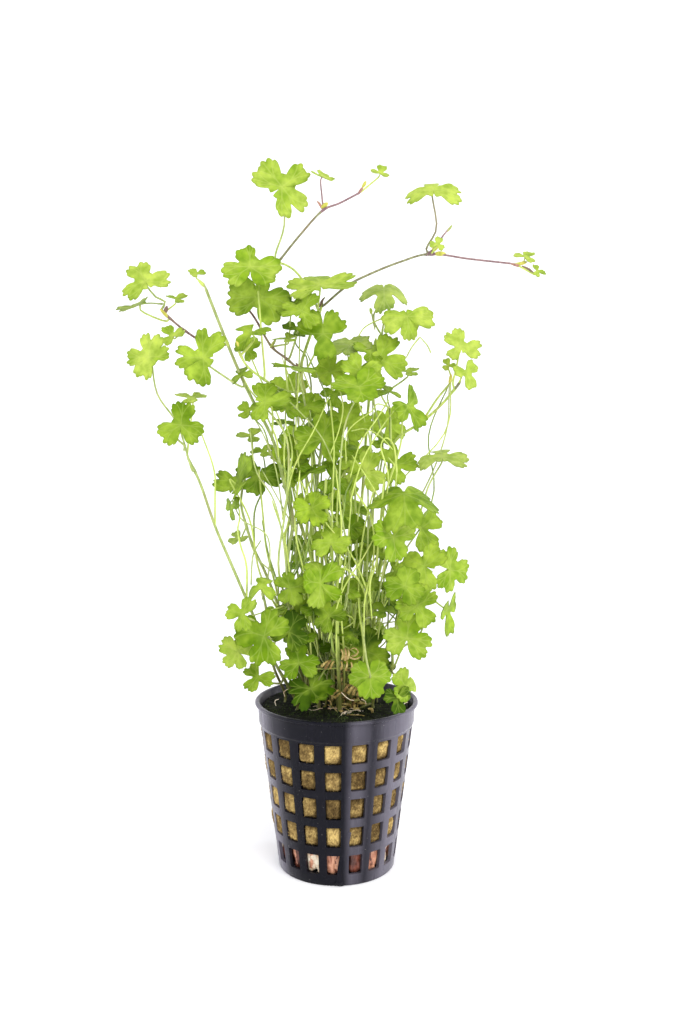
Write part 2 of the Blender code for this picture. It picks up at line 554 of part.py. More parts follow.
def pot_shape():
    """The net pot: a wall with rows of windows, a plain band with a lip, and a floor with slots."""
    levels = sorted(level for row in WINDOW_ROWS for level in row)
    open_from = {row[0] for row in WINDOW_ROWS}
    outer = [(level, wall_radius(level)) for level in levels]
    inner = [(level, radius - WALL) for level, radius in outer]
    top = [
        (STEP_HEIGHT, wall_radius(STEP_HEIGHT)),
        (BAND_FOOT, BAND_RADII[0]),
        (LIP_BOTTOM, BAND_RADII[1]),
        (LIP_BOTTOM + LIP_UNDERCUT, LIP_RADIUS),
        (POT_HEIGHT - LIP_EASE, LIP_RADIUS),
        (POT_HEIGHT, LIP_TOP_RADIUS),
        (POT_HEIGHT, wall_radius(POT_HEIGHT) - WALL + MOUTH_EASE),
    ]
    slot_in, slot_out = SLOT_RADII
    foot = [
        (FOOT_EASE, wall_radius(FOOT_EASE)),
        (0.0, BASE_RADIUS - FOOT_EASE),
        (0.0, slot_out),
        (0.0, slot_in),
    ]
    floor = [(FLOOR, slot_in), (FLOOR, slot_out), (FLOOR, wall_radius(FLOOR) - WALL)]
    rings = foot[::-1] + outer + top + inner[::-1] + floor[::-1]
    turns = pot_turns()
    verts = []
    for height, radius in rings:
        for turn in turns:
            verts.append(Vector((math.sin(turn) * radius, -math.cos(turn) * radius, height)))
    count = len(turns)
    first_outer = len(foot)
    first_inner = len(foot) + len(outer) + len(top)

    def holed(ring, turn):
        """Whether the strip above this ring is open at this turn."""
        if turn % 2:
            return False
        if ring in (0, len(rings) - 2):
            return True
        level = ring - first_outer
        if 0 <= level < len(outer):
            return levels[level] in open_from
        level = ring - first_inner
        if 0 <= level < len(inner) - 1:
            return inner[::-1][level + 1][0] in open_from
        return False

    faces = []
    for ring in range(len(rings) - 1):
        for turn in range(count):
            nxt = (turn + 1) % count
            if not holed(ring, turn):
                low = ring * count
                faces.append((low + turn, low + nxt, low + count + nxt, low + count + turn))
    for level in range(0, len(levels), 2):
        out_low = (first_outer + level) * count
        in_low = (first_inner + len(levels) - 1 - level) * count
        add_window_sides(faces, count, out_low, out_low + count, in_low, in_low - count)
    bottom_in, bottom_out = 0, count
    floor_in, floor_out = (len(rings) - 1) * count, (len(rings) - 2) * count
    add_window_sides(faces, count, bottom_in, bottom_out, floor_in, floor_out)
    faces.append(tuple(reversed(range(bottom_in, bottom_in + count))))
    faces.append(tuple(range(floor_in, floor_in + count)))
    return verts, faces


def add_window_sides(faces, count, out_low, out_high, in_low, in_high):
    """The four sides of each opening between two outer rings and the two inner rings behind them."""
    for turn in range(0, count, 2):
        nxt = turn + 1
        faces.append((out_low + turn, out_low + nxt, in_low + nxt, in_low + turn))
        faces.append((out_high + nxt, out_high + turn, in_high + turn, in_high + nxt))
        faces.append((out_high + turn, out_low + turn, in_low + turn, in_high + turn))
        faces.append((out_low + nxt, out_high + nxt, in_high + nxt, in_low + nxt))


def stacked(levels, turns, shift, ripple=0.0):
    """A closed upright body from (height, radius) levels, with an optional ripple round it."""
    verts = []
    for step, (height, radius) in enumerate(levels):
        for index, turn in enumerate(turns):
            wide = radius * (1.0 + ripple * math.sin(RIPPLE_TURN * index + RIPPLE_STEP * step))
            verts.append(Vector((shift + math.sin(turn) * wide, -math.cos(turn) * wide, height)))
    count = len(turns)
    faces = [tuple(reversed(range(count)))]
    for level in range(len(levels) - 1):
        low = level * count
        for turn in range(count):
            nxt = (turn + 1) % count
            faces.append((low + turn, low + nxt, low + count + nxt, low + count + turn))
    faces.append(tuple(range(len(verts) - count, len(verts))))
    return verts, faces


def wool_radius(height):
    """Radius of the plug: the pot's inside less the slack that it keeps."""
    return wall_radius(height) - WALL - GAP - WOOL_SLACK


def young_leaf(foot, row):
    """A three lobed leaf on a short stalk whose foot lies inside its stem."""
    _, _, spot, size, yaw, pitch, spin = row
    axes = blade_axes(yaw, pitch, spin, False)
    centre = on_sight_line(*spot)
    below = centre - YOUNG_NECK * axes[2]
    stalk = [below, (below + foot) / 2, foot]
    return leaf_mesh(centre, axes, size, YOUNG_CUP, 0.0, YOUNG_OUTLINE, stalk, taper(*YOUNG_RADII, 3))


def join(target, name, shape, colour):
    """Joins a solid to an object by a live union with a hidden helper, which keeps its own colour."""
    helper = add_object(name, shape, colour)
    helper.hide_render = True
    helper.display_type = "WIRE"
    union = target.modifiers.new(name, "BOOLEAN")
    union.operation = "UNION"
    union.solver = "MANIFOLD" if target.name in CROWDED_STEMS else "EXACT"
    union.material_mode = "TRANSFER"
    union.object = helper


def nearest(line, point):
    """The point of a line that lies nearest to another."""
    return min(line, key=lambda candidate: (candidate - point).length)


class Plant:
    """The stems with what is grown on them, and what the leaves have to clear."""

    def __init__(self):
        self.objects, self.lines, self.radii, self.trees = {}, {}, {}, {}

    def add_stem(self, name, colour, points, ends):
        """Adds one stem and keeps its line, radius and search tree."""
        line = curve(points, len(points))
        shape = tube(line, taper(*ends, len(line)), STEM_SIDES)
        self.objects[name] = add_object(name, shape, colour, smooth=60)
        self.lines[name] = finer(line)
        self.radii[name] = (ends[0] + ends[1]) / 2
        self.trees[name] = tree_of(shape)

    def grow_stems(self):
        """Raises the stems from the wool, then the runners from a node of a stem."""
        for name, colour, root, ends, places in STEMS:
            foot = Vector((root[0], root[1], WOOL_TOP + GAP))
            points = [foot, foot + Vector((0.0, 0.0, STEM_LIFT))]
            points += [on_sight_line(*place) for place in places]
            self.add_stem(name, colour, points, ends)
        for name, colour, stem, ends, places in RUNNERS:
            points = [on_sight_line(*place) for place in places[1:]]
            _, start, outward = foot_on_stem(
                self.lines[stem], self.radii[stem], places[0][:2], 0.0, points[0]
            )
            self.add_stem(name, colour, [start, outward] + points, ends)

    def grow_branches(self):
        """Joins the side branches and the young leaves to their stems."""
        for index, (stem, ends, places) in enumerate(BRANCHES):
            points = [on_sight_line(*place) for place in places]
            points[0] = nearest(self.lines[stem], points[0])
            line = curve(points, len(points))
            shape = tube(line, taper(*ends, len(line)), TWIG_SIDES)
            name = f"branch_{index + 1}"
            colour = RUNNER_COLOUR if stem.startswith("runner") else STEM_COLOUR
            join(self.objects[stem], name, shape, colour)
            self.lines[stem] += finer(line)
            self.trees[name] = tree_of(shape)
        for index, row in enumerate(YOUNG_LEAVES):
            name = f"young_leaf_{index + 1}"
            shape = young_leaf(nearest(self.lines[row[0]], on_sight_line(*row[1])), row)
            join(self.objects[row[0]], name, shape, LIME)
            self.trees[name] = tree_of(shape)

    def grow_leaves(self):
        """Settles every leaf clear of the rest, from the fullest places to the gaps between them."""
        for row in OWN_LEAVES:
            shape = settled_leaf(row, self.lines, self.radii, self.trees, True)
            name = f"leaf_{row[0]:02d}"
            self.trees[name] = tree_of(shape)
            add_object(name, shape, row[9], smooth=40)
        for row in STEM_LEAVES:
            shape = settled_leaf(row, self.lines, self.radii, self.trees, False)
            name = f"leaf_{row[0]:02d}"
            self.trees[name] = tree_of(shape)
            join(self.objects[row[10]], name, shape, row[9])


def main():
    for obj in list(bpy.data.objects):
        bpy.data.objects.remove(obj)
    plant = Plant()
    pot = pot_shape()
    add_object("pot", pot, POT_COLOUR, roughness=0.3)
    wool = stacked(
        [(WOOL_BOTTOM, wool_radius(WOOL_BOTTOM)), (WOOL_TOP, wool_radius(WOOL_TOP))], pot_turns(), WOOL_SHIFT
    )
    add_object("rock_wool", wool, WOOL_COLOUR, roughness=0.95)
    root_turns = [math.tau * index / ROOT_TURNS for index in range(ROOT_TURNS)]
    add_object("roots", stacked(ROOT_LEVELS, root_turns, 0.0, ROOT_RIPPLE), ROOT_COLOUR, roughness=0.8)
    plant.trees["pot"] = tree_of(pot)
    plant.trees["rock_wool"] = tree_of(wool)
    plant.grow_stems()
    plant.grow_branches()
    plant.grow_leaves()


main()
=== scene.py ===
"""Looks of the pennywort in its net pot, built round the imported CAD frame.

The pot stands upright on its floor. Lengths are in millimetres until a piece is finished, which makes it metres.
Places of the plant are set out on the same front drawing as the part's source: across runs to the right, down
runs downward, and a depth in millimetres behind the pot's axis says how far back each place lies.
"""

import logging
import math
from dataclasses import dataclass, field
from enum import Enum
from random import Random
from typing import Iterable, Sequence

import bmesh
import bpy
import numpy as np
from mathutils import Matrix, Vector, noise


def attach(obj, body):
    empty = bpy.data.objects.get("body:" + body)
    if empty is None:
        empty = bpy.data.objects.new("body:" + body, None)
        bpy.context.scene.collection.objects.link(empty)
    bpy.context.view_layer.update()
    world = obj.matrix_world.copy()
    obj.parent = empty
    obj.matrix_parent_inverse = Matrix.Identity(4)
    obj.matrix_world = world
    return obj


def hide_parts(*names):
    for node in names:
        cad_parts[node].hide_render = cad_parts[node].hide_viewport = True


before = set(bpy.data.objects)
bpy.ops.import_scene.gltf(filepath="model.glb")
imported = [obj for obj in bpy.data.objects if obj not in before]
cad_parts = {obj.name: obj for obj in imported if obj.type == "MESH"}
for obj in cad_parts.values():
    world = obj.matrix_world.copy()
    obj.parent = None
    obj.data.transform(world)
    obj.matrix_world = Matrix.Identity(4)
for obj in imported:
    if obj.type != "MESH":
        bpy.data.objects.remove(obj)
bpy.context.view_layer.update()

log = logging.getLogger("pennywort")
MM = 0.001
BODY = "root"
Pair = tuple[float, float]
Place = tuple[float, float, float]
Colour = tuple[float, float, float]
Shape = bmesh.types.BMesh
Face = bmesh.types.BMFace
Socket = bpy.types.NodeSocket
Material = bpy.types.Material


class LeafShade(Enum):
    """The record's leaf slots, and a darker copy of the leaf finish that paints shade on what stands in the tuft's
    shade.
    """

    LIME = "leaf_lime"
    FRESH = "leaf_fresh"
    DEEP = "leaf_deep"
    PALE = "leaf_pale"
    DIM = "leaf_dim"


LIME, FRESH, DEEP, PALE, DIM = LeafShade
Key = LeafShade | str
GREEN, GREY, SHADED, PURPLE = "stalk_green", "stalk_grey", "stalk_shaded", "stem_purple"
SHEATH, STRAND, BUD = "dead_sheath", "wool_strand", "bud_yellow"
CREAM, BROWN, PINK = "root_cream", "root_brown", "root_pink"


@dataclass(frozen=True)
class Drawing:
    """The front drawing that the plant is set out on."""

    middle: Pair = (339.0, 512.0)
    focal: float = 1100.0
    across: float = 0.8
    distance: float = 349.0
    height: float = 154.6
    dip: float = math.radians(6.3)

    def point(self, across: float, down: float, depth: float) -> Vector:
        """The point at a depth on the sight line through a place of the drawing.

        Args:
            across: Steps to the right.
            down: Steps downward.
            depth: Millimetres behind the pot's axis.

        Returns:
            The point in millimetres.
        """
        rise = (self.middle[1] - down) / self.focal
        right = (across - self.middle[0]) / self.focal
        forward = math.cos(self.dip) + rise * math.sin(self.dip)
        lift = rise * math.cos(self.dip) - math.sin(self.dip)
        reach = (self.distance + depth) / forward
        return Vector((self.across + right * reach, depth, self.height + lift * reach))

    def points(self, places: Iterable[Place]) -> list[Vector]:
        """The points of a row of places."""
        return [self.point(*place) for place in places]

    def seen(self, point: Vector) -> Vector:
        """The place of the drawing where a point is seen.

        Args:
            point: The point in millimetres.

        Returns:
            Its steps across and down.
        """
        out = point - Vector((self.across, -self.distance, self.height))
        away = out.y * math.cos(self.dip) - out.z * math.sin(self.dip)
        lift = out.y * math.sin(self.dip) + out.z * math.cos(self.dip)
        return Vector((self.middle[0] + self.focal * out.x / away, self.middle[1] - self.focal * lift / away))


DRAWING = Drawing()


def curve(points: Sequence[Vector], count: int) -> list[Vector]:
    """Points at even steps of a smooth curve through all of the given points.

    Args:
        points: Two points or more.
        count: The number of steps.

    Returns:
        One point more than the steps.
    """
    ends = [2 * points[0] - points[1]] + list(points) + [2 * points[-1] - points[-2]]
    found = []
    for step in range(count + 1):
        place = step / count * (len(points) - 1)
        span = min(int(place), len(points) - 2)
        t = place - span
        a, b, c, d = ends[span:span + 4]
        found.append(0.5 * (
            2 * b + (c - a) * t + (2 * a - 5 * b + 4 * c - d) * t ** 2 + (3 * b - a - 3 * c + d) * t ** 3
        ))
    return found


def finer(line: Sequence[Vector], parts: int = 8) -> list[Vector]:
    """The same line with more points on its straight runs."""
    steps = [(step + 1) / parts for step in range(parts)]
    return [line[0]] + [before.lerp(after, step) for before, after in zip(line, line[1:]) for step in steps]


def direction(points: Sequence[Vector], index: int) -> Vector:
    """The unit direction of a line of points at one of them."""
    return (points[min(index + 1, len(points) - 1)] - points[max(index - 1, 0)]).normalized()


def nearest(line: Sequence[Vector], point: Vector) -> Vector:
    """The point of a line that lies nearest to another."""
    return min(line, key=lambda candidate: (candidate - point).length)


def taper(first: float, last: float, count: int) -> list[float]:
    """Radii that change evenly from first to last over a number of points."""
    return [first + (last - first) * index / max(count - 1, 1) for index in range(count)]


def rounded_ends(radii: Sequence[float], dome: float = 0.35) -> list[float]:
    """The same radii with both ends drawn in, so that a bar ends in a dome."""
    return [dome * radii[0], *radii[1:-1], dome * radii[-1]]


def around(turn: float, radius: float, height: float) -> Vector:
    """The point at a turn in radians from the front, a radius from the axis and a height."""
    return Vector((math.sin(turn) * radius, -math.cos(turn) * radius, height))


class Sheet:
    """A material whose node tree is filled one node at a time."""

    def __init__(self, name: str) -> None:
        """Starts a material with one shader.

        Args:
            name: The material's name.
        """
        self.material = bpy.data.materials.new(name)
        self.material.use_nodes = True
        self.tree = self.material.node_tree
        self.shader = self.tree.nodes["Principled BSDF"]

    def put(self, kind: str, inputs: dict, out: int | str = 0, **settings: object) -> Socket:
        """Adds a node.

        Args:
            kind: The node's type without its ShaderNode prefix.
            inputs: Its inputs by name or number, each a socket to link or a constant.
            out: The output wanted.
            settings: The node's own settings.

        Returns:
            That output's socket.
        """
        node = self.tree.nodes.new("ShaderNode" + kind)
        for name, value in settings.items():
            setattr(node, name, value)
        for name, value in inputs.items():
            if isinstance(value, Socket):
                self.tree.links.new(value, node.inputs[name])
            else:
                node.inputs[name].default_value = value
        return node.outputs[out]

    def place(self, stretch: Place = (1.0, 1.0, 1.0)) -> Socket:
        """Object coordinates, stretched along each axis."""
        return self.put("Mapping", {"Vector": self.put("TexCoord", {}, "Object"), "Scale": stretch})

    def parts(self, vector: Socket) -> tuple[Socket, Socket, Socket]:
        """The three parts of a vector."""
        return tuple(self.put("SeparateXYZ", {"Vector": vector}).node.outputs)

    def own_map(self, name: str) -> tuple[Socket, Socket, Socket]:
        """The parts of one of the piece's own maps."""
        return self.parts(self.put("UVMap", {}, uv_map=name))

    def noise(self, vector: Socket, scale: float, detail: float = 3.0, rough: float = 0.55) -> Socket:
        """A noise value from 0 to 1."""
        return self.put("TexNoise", {"Vector": vector, "Scale": scale, "Detail": detail, "Roughness": rough})

    def math(self, operation: str, *values: object) -> Socket:
        """The result of one sum on sockets or numbers."""
        return self.put("Math", dict(enumerate(values)), operation=operation)

    def span(self, value: Socket, low: float, high: float, first: float = 0.0, last: float = 1.0) -> Socket:
        """A value brought smoothly from one span to another."""
        inputs = {"Value": value, "From Min": low, "From Max": high, "To Min": first, "To Max": last}
        return self.put("MapRange", inputs, interpolation_type="SMOOTHSTEP")

    def ramp(self, value: Socket, stops: Sequence[tuple[float, Colour]]) -> Socket:
        """A colour that follows a value.

        Args:
            value: The value, from 0 to 1.
            stops: The colours, each with its position.

        Returns:
            The colour.
        """
        socket = self.put("ValToRGB", {"Fac": value})
        elements = socket.node.color_ramp.elements
        while len(elements) < len(stops):
            elements.new(0.5)
        for element, (position, colour) in zip(elements, stops):
            element.position = position
            element.color = (*colour, 1.0)
        return socket

    def mix(self, factor: object, first: object, second: object, blend: str = "MIX") -> Socket:
        """A mix of two colours, each a socket or a constant.

        Args:
            factor: The second one's share.
            first: The first colour.
            second: The second colour.
            blend: How they are mixed.

        Returns:
            The mix.
        """
        inputs = {0: factor}
        for slot, value in ((6, first), (7, second)):
            inputs[slot] = value if isinstance(value, Socket) else (*value, 1.0)
        return self.put("Mix", inputs, 2, data_type="RGBA", blend_type=blend)

    def bump(self, height: Socket, strength: float, distance: float) -> None:
        """Feeds a height to the shader's normal, with the distance in millimetres."""
        normal = self.put("Bump", {"Height": height, "Strength": strength, "Distance": distance * MM})
        self.tree.links.new(normal, self.shader.inputs["Normal"])

    def let_light_through(self, colour: Socket, share: float) -> None:
        """Mixes a share of translucence into the shader."""
        inputs = {0: share, 1: self.shader.outputs[0], 2: self.put("BsdfTranslucent", {"Color": colour})}
        self.tree.links.new(self.put("MixShader", inputs), self.tree.nodes["Material Output"].inputs["Surface"])

    def finish(self, colour: Socket, **constants: float) -> Material:
        """Links the colour and sets the shader's constants.

        Args:
            colour: The surface's colour.
            constants: The constants by the shader's names, with _ for a space.

        Returns:
            The material.
        """
        self.tree.links.new(colour, self.shader.inputs["Base Color"])
        for name, value in constants.items():
            self.shader.inputs[name.replace("_", " ")].default_value = value
        return self.material


@dataclass(frozen=True)
class LeafFinish:
    """A living blade: palmate veins, mottling, a slight gloss and light that comes through."""

    name: str
    young: Colour
    grown: Colour
    vein: Colour
    gloss: float = 0.5
    through: float = 0.3
    vein_turns: tuple[float, ...] = (0.0, 90.0, 128.0)
    fork_from: float = 0.3
    fork_rate: float = 0.55

    def vein_distance(self, sheet: Sheet) -> tuple[Socket, Socket]:
        """The distance from the nearest forked vein and from the blade's middle, in blade sizes.

        Args:
            sheet: The material to work in.

        Returns:
            The two distances.
        """
        across, ahead, _ = sheet.own_map("blade")
        side = sheet.math("ABSOLUTE", across)
        turn = sheet.math("ARCTAN2", side, ahead)
        reach = sheet.math("SQRT", sheet.math(
            "ADD", sheet.math("MULTIPLY", side, side), sheet.math("MULTIPLY", ahead, ahead)))
        past_fork = sheet.math("MAXIMUM", sheet.math("SUBTRACT", reach, self.fork_from), 0.0)
        fork = sheet.math("MULTIPLY", past_fork, self.fork_rate)
        least = None
        for vein in self.vein_turns:
            apart = sheet.math("ABSOLUTE", sheet.math("SUBTRACT", turn, math.radians(vein)))
            forked = sheet.math("ABSOLUTE", sheet.math("SUBTRACT", apart, fork))
            found = sheet.math("MINIMUM", apart, forked)
            least = found if least is None else sheet.math("MINIMUM", least, found)
        return sheet.math("MULTIPLY", least, reach), reach

    def material(self) -> Material:
        """Makes the material.

        Returns:
            The material.
        """
        sheet = Sheet(self.name)
        place = sheet.place()
        distance, reach = self.vein_distance(sheet)
        vein = sheet.span(distance, 0.035, 0.004)
        margin, tone, _ = sheet.own_map("rim")
        patch = sheet.span(sheet.noise(place, 150.0, 2.0), 0.3, 0.7, -0.4, 0.4)
        age_and_shade = sheet.math("MINIMUM", sheet.math("MAXIMUM", sheet.math("ADD", tone, patch), 0.0), 1.0)
        colour = sheet.mix(age_and_shade, self.young, self.grown)
        mottle = sheet.span(sheet.noise(place, 430.0, 4.0), 0.3, 0.72)
        shade = sheet.ramp(mottle, ((0.0, (0.66, 0.74, 0.5)), (0.6, (1.0, 1.0, 1.0)), (1.0, (1.14, 1.1, 1.0))))
        colour = sheet.mix(0.8, colour, shade, "MULTIPLY")
        light = sheet.mix(0.6, colour, self.vein)
        colour = sheet.mix(sheet.span(reach, 0.4, 0.0, 0.0, 0.3), colour, light)
        colour = sheet.mix(sheet.math("MULTIPLY", vein, 0.45), colour, light)
        edge = sheet.span(margin, 0.88, 1.0, 0.0, 0.35)
        colour = sheet.mix(edge, colour, tuple(0.5 * part for part in self.grown))
        cells = sheet.math("MULTIPLY", sheet.noise(place, 1500.0, 2.0), 0.25)
        sheet.bump(sheet.math("SUBTRACT", cells, sheet.math("MULTIPLY", vein, 0.8)), 0.6, 0.12)
        sheet.let_light_through(colour, self.through)
        return sheet.finish(colour, Roughness=self.gloss, Specular_IOR_Level=0.1)


@dataclass(frozen=True)
class StalkFinish:
    """A smooth living stem or stalk with faint streaks along it, tinted patches and a dark foot in the crown: its own
    brown and painted shade.
    """

    name: str
    light: Colour
    dark: Colour
    tint: Colour
    tint_share: float
    # The foot's colour: the stalk's own brown mixed with painted shade low in the crown.
    foot: Colour = (0.095, 0.085, 0.02)
    foot_brown_and_shade_share: float = 0.85
    foot_low: float = 57.0
    foot_high: float = 80.0

    def material(self) -> Material:
        """Makes the material.

        Returns:
            The material.
        """
        sheet = Sheet(self.name)
        place = sheet.place()
        streaks = sheet.noise(sheet.place((1.0, 1.0, 0.12)), 1300.0, 2.0)
        colour = sheet.mix(sheet.span(streaks, 0.35, 0.65), self.dark, self.light)
        patch = sheet.span(sheet.noise(place, 70.0, 2.0), 0.5, 0.68, 0.0, self.tint_share)
        colour = sheet.mix(patch, colour, self.tint)
        # Partly painted shade: the stalk darkens towards the foot's colour below foot_high.
        foot = sheet.span(sheet.parts(place)[2], self.foot_low * MM, self.foot_high * MM, self.foot_brown_and_shade_share, 0.0)
        sheet.bump(streaks, 0.35, 0.05)
        return sheet.finish(sheet.mix(foot, colour, self.foot), Roughness=0.4, Specular_IOR_Level=0.3)


@dataclass(frozen=True)
class PlasticFinish:
    """Moulded black plastic with a soft gloss, faint wear, upright streaks of painted sheen at given turns round the
    pot, and specks of dust.
    """

    name: str = "black_plastic"
    base: Colour = (0.003, 0.003, 0.0065)
    worn: Colour = (0.007, 0.0065, 0.012)
    painted_sheen: Colour = (0.180, 0.168, 0.210)
    dust: Colour = (0.4, 0.38, 0.36)
    # Strength of the painted sheen at each turn from the front, in degrees.
    streaks: tuple[Pair, ...] = (
        (-180.0, 0.3), (-135.0, 0.15), (-100.0, 0.55), (-66.0, 0.88), (-50.0, 0.14), (-34.0, 0.0), (6.0, 0.0),
        (13.0, 0.44), (20.0, 0.38), (27.0, 0.08), (36.0, 0.35), (52.0, 0.75), (80.0, 0.8), (110.0, 0.3), (180.0, 0.3))

    def material(self) -> Material:
        """Makes the material.

        Returns:
            The material.
        """
        sheet = Sheet(self.name)
        place = sheet.place()
        wear = sheet.span(sheet.noise(place, 160.0, 5.0, 0.65), 0.5, 0.8)
        colour = sheet.mix(wear, self.base, self.worn)
        across, ahead, _ = sheet.parts(place)
        turn = sheet.math("ARCTAN2", across, sheet.math("MULTIPLY", ahead, -1.0))
        share_round = sheet.math("MULTIPLY_ADD", turn, 0.5 / math.pi, 0.5)
        # Painted sheen: lighter upright streaks at the turns where reflections fall, broken up by noise patches.
        sheen_streak = sheet.ramp(share_round, [(0.5 + angle / 360.0, (share,) * 3) for angle, share in self.streaks])
        sheen_patches = sheet.span(sheet.noise(sheet.place((1.0, 1.0, 0.25)), 260.0, 3.0), 0.3, 0.7, 0.75, 1.0)
        colour = sheet.mix(sheet.math("MULTIPLY", sheen_streak, sheen_patches), colour, self.painted_sheen)
        specks = sheet.span(sheet.noise(place, 1900.0, 1.0), 0.76, 0.82, 0.0, 0.6)
        colour = sheet.mix(specks, colour, self.dust)
        rough = sheet.span(sheet.noise(sheet.place((1.0, 1.0, 0.2)), 240.0, 3.0), 0.3, 0.75, 0.22, 0.4)
        sheet.tree.links.new(rough, sheet.shader.inputs["Roughness"])
        sheet.bump(sheet.noise(sheet.place((1.0, 1.0, 0.3)), 900.0, 3.0), 0.25, 0.05)
        return sheet.finish(colour, Specular_IOR_Level=0.13)


@dataclass(frozen=True)
class FibreFinish:
    """Matted mineral fibre, stretched along one axis, in three tones."""

    name: str
    low: Colour
    middle: Colour
    high: Colour
    stretch: Place = (1.0, 1.0, 0.6)
    rough: float = 0.95
    relief: float = 0.3

    def material(self) -> Material:
        """Makes the material.

        Returns:
            The material.
        """
        sheet = Sheet(self.name)
        strands = sheet.noise(sheet.place(self.stretch), 2200.0, 6.0, 0.75)
        clumps = sheet.noise(sheet.place(), 420.0, 3.0, 0.6)
        tufts = sheet.noise(sheet.place(), 95.0, 1.0)
        both = sheet.math("MULTIPLY_ADD", strands, 0.4, sheet.math("MULTIPLY", clumps, 0.25))
        both = sheet.math("MULTIPLY_ADD", tufts, 0.35, both)
        tone = sheet.span(both, 0.36, 0.66)
        colour = sheet.ramp(tone, ((0.0, self.low), (0.5, self.middle), (1.0, self.high)))
        sheet.bump(both, 0.9, self.relief)
        return sheet.finish(colour, Roughness=self.rough, Specular_IOR_Level=0.15)


@dataclass(frozen=True)
class RootFinish:
    """A moist root, mottled between two tones."""

    name: str
    light: Colour
    dark: Colour
    gloss: float = 0.4

    def material(self) -> Material:
        """Makes the material.

        Returns:
            The material.
        """
        sheet = Sheet(self.name)
        place = sheet.place()
        mottle = sheet.span(sheet.noise(place, 420.0, 4.0), 0.35, 0.65)
        sheet.bump(sheet.noise(place, 1400.0, 3.0), 0.5, 0.1)
        colour = sheet.mix(mottle, self.dark, self.light)
        return sheet.finish(colour, Roughness=self.gloss, Specular_IOR_Level=0.5)


class Finishes:
    """Every finish of the object, made once and shared."""

    def __init__(self) -> None:
        """Makes all the materials."""
        self.made: dict[Key, Material] = {}
        tones = {
            LIME: ((0.49, 0.61, 0.100), (0.25, 0.41, 0.018), (0.57, 0.66, 0.16)),
            FRESH: ((0.42, 0.57, 0.062), (0.155, 0.28, 0.006), (0.46, 0.58, 0.12)),
            DEEP: ((0.36, 0.52, 0.036), (0.055, 0.120, 0.001), (0.40, 0.52, 0.09)),
            PALE: ((0.44, 0.55, 0.12), (0.20, 0.31, 0.05), (0.52, 0.60, 0.22)),
            # A darker copy of the leaf finish: painted shade for small leaves deep in the tuft.
            DIM: ((0.10, 0.19, 0.006), (0.022, 0.050, 0.001), (0.16, 0.26, 0.03)),
        }
        for shade, colours in tones.items():
            self.made[shade] = LeafFinish(f"{shade.value}_upper", *colours).material()
            paler = (tuple(0.95 * part + 0.006 for part in colour) for colour in colours)
            under = LeafFinish(f"{shade.value}_under", *paler, 0.6)
            self.made[under.name] = under.material()
        even = (1.0, 1.0, 1.0)
        for finish in (
            StalkFinish(GREEN, (0.52, 0.62, 0.14), (0.37, 0.48, 0.08), (0.34, 0.30, 0.10), 0.25),
            StalkFinish(GREY, (0.41, 0.48, 0.15), (0.27, 0.35, 0.09), (0.25, 0.19, 0.10), 0.3),
            StalkFinish("stem_green", (0.46, 0.56, 0.13), (0.31, 0.41, 0.08), (0.34, 0.26, 0.10), 0.35),
            StalkFinish("stem_outer", (0.36, 0.43, 0.14), (0.24, 0.31, 0.08), (0.26, 0.18, 0.11), 0.4),
            StalkFinish(SHADED, (0.26, 0.36, 0.06), (0.14, 0.22, 0.03), (0.16, 0.12, 0.05), 0.4),
            StalkFinish(PURPLE, (0.22, 0.13, 0.11), (0.12, 0.06, 0.055), (0.26, 0.26, 0.09), 0.5),
            StalkFinish("runner_brown", (0.24, 0.25, 0.12), (0.15, 0.14, 0.07), (0.25, 0.19, 0.12), 0.5),
            StalkFinish("runner_purple", (0.27, 0.17, 0.17), (0.16, 0.09, 0.10), (0.36, 0.22, 0.16), 0.4),
            StalkFinish("node_pink", (0.38, 0.20, 0.15), (0.24, 0.11, 0.09), (0.4, 0.28, 0.1), 0.4),
            StalkFinish(BUD, (0.54, 0.52, 0.09), (0.38, 0.38, 0.05), (0.5, 0.3, 0.08), 0.3),
            PlasticFinish(),
            FibreFinish("wool_fibre", (0.034, 0.019, 0.006), (0.21, 0.138, 0.046), (0.66, 0.48, 0.17)),
            FibreFinish(STRAND, (0.10, 0.06, 0.02), (0.26, 0.17, 0.06), (0.58, 0.42, 0.17)),
            FibreFinish("wet_top", (0.002, 0.003, 0.0015), (0.007, 0.009, 0.003), (0.026, 0.032, 0.010), even,
                        0.8, 0.6),
            FibreFinish("moss", (0.010, 0.018, 0.003), (0.034, 0.056, 0.010), (0.120, 0.175, 0.036), even, 0.75,
                        0.2),
            FibreFinish(SHEATH, (0.11, 0.07, 0.015), (0.40, 0.30, 0.09), (0.72, 0.60, 0.27),
                        (1.0, 1.0, 0.3), 0.7, 0.15),
            RootFinish(BROWN, (0.20, 0.055, 0.03), (0.06, 0.018, 0.012)),
            RootFinish(PINK, (0.70, 0.36, 0.22), (0.42, 0.17, 0.10)),
            RootFinish(CREAM, (0.84, 0.76, 0.60), (0.62, 0.42, 0.26), 0.3),
        ):
            self.made[finish.name] = finish.material()

    def __getitem__(self, key: Key) -> Material:
        """The material of a leaf shade or of a finish's name."""
        return self.made[key]


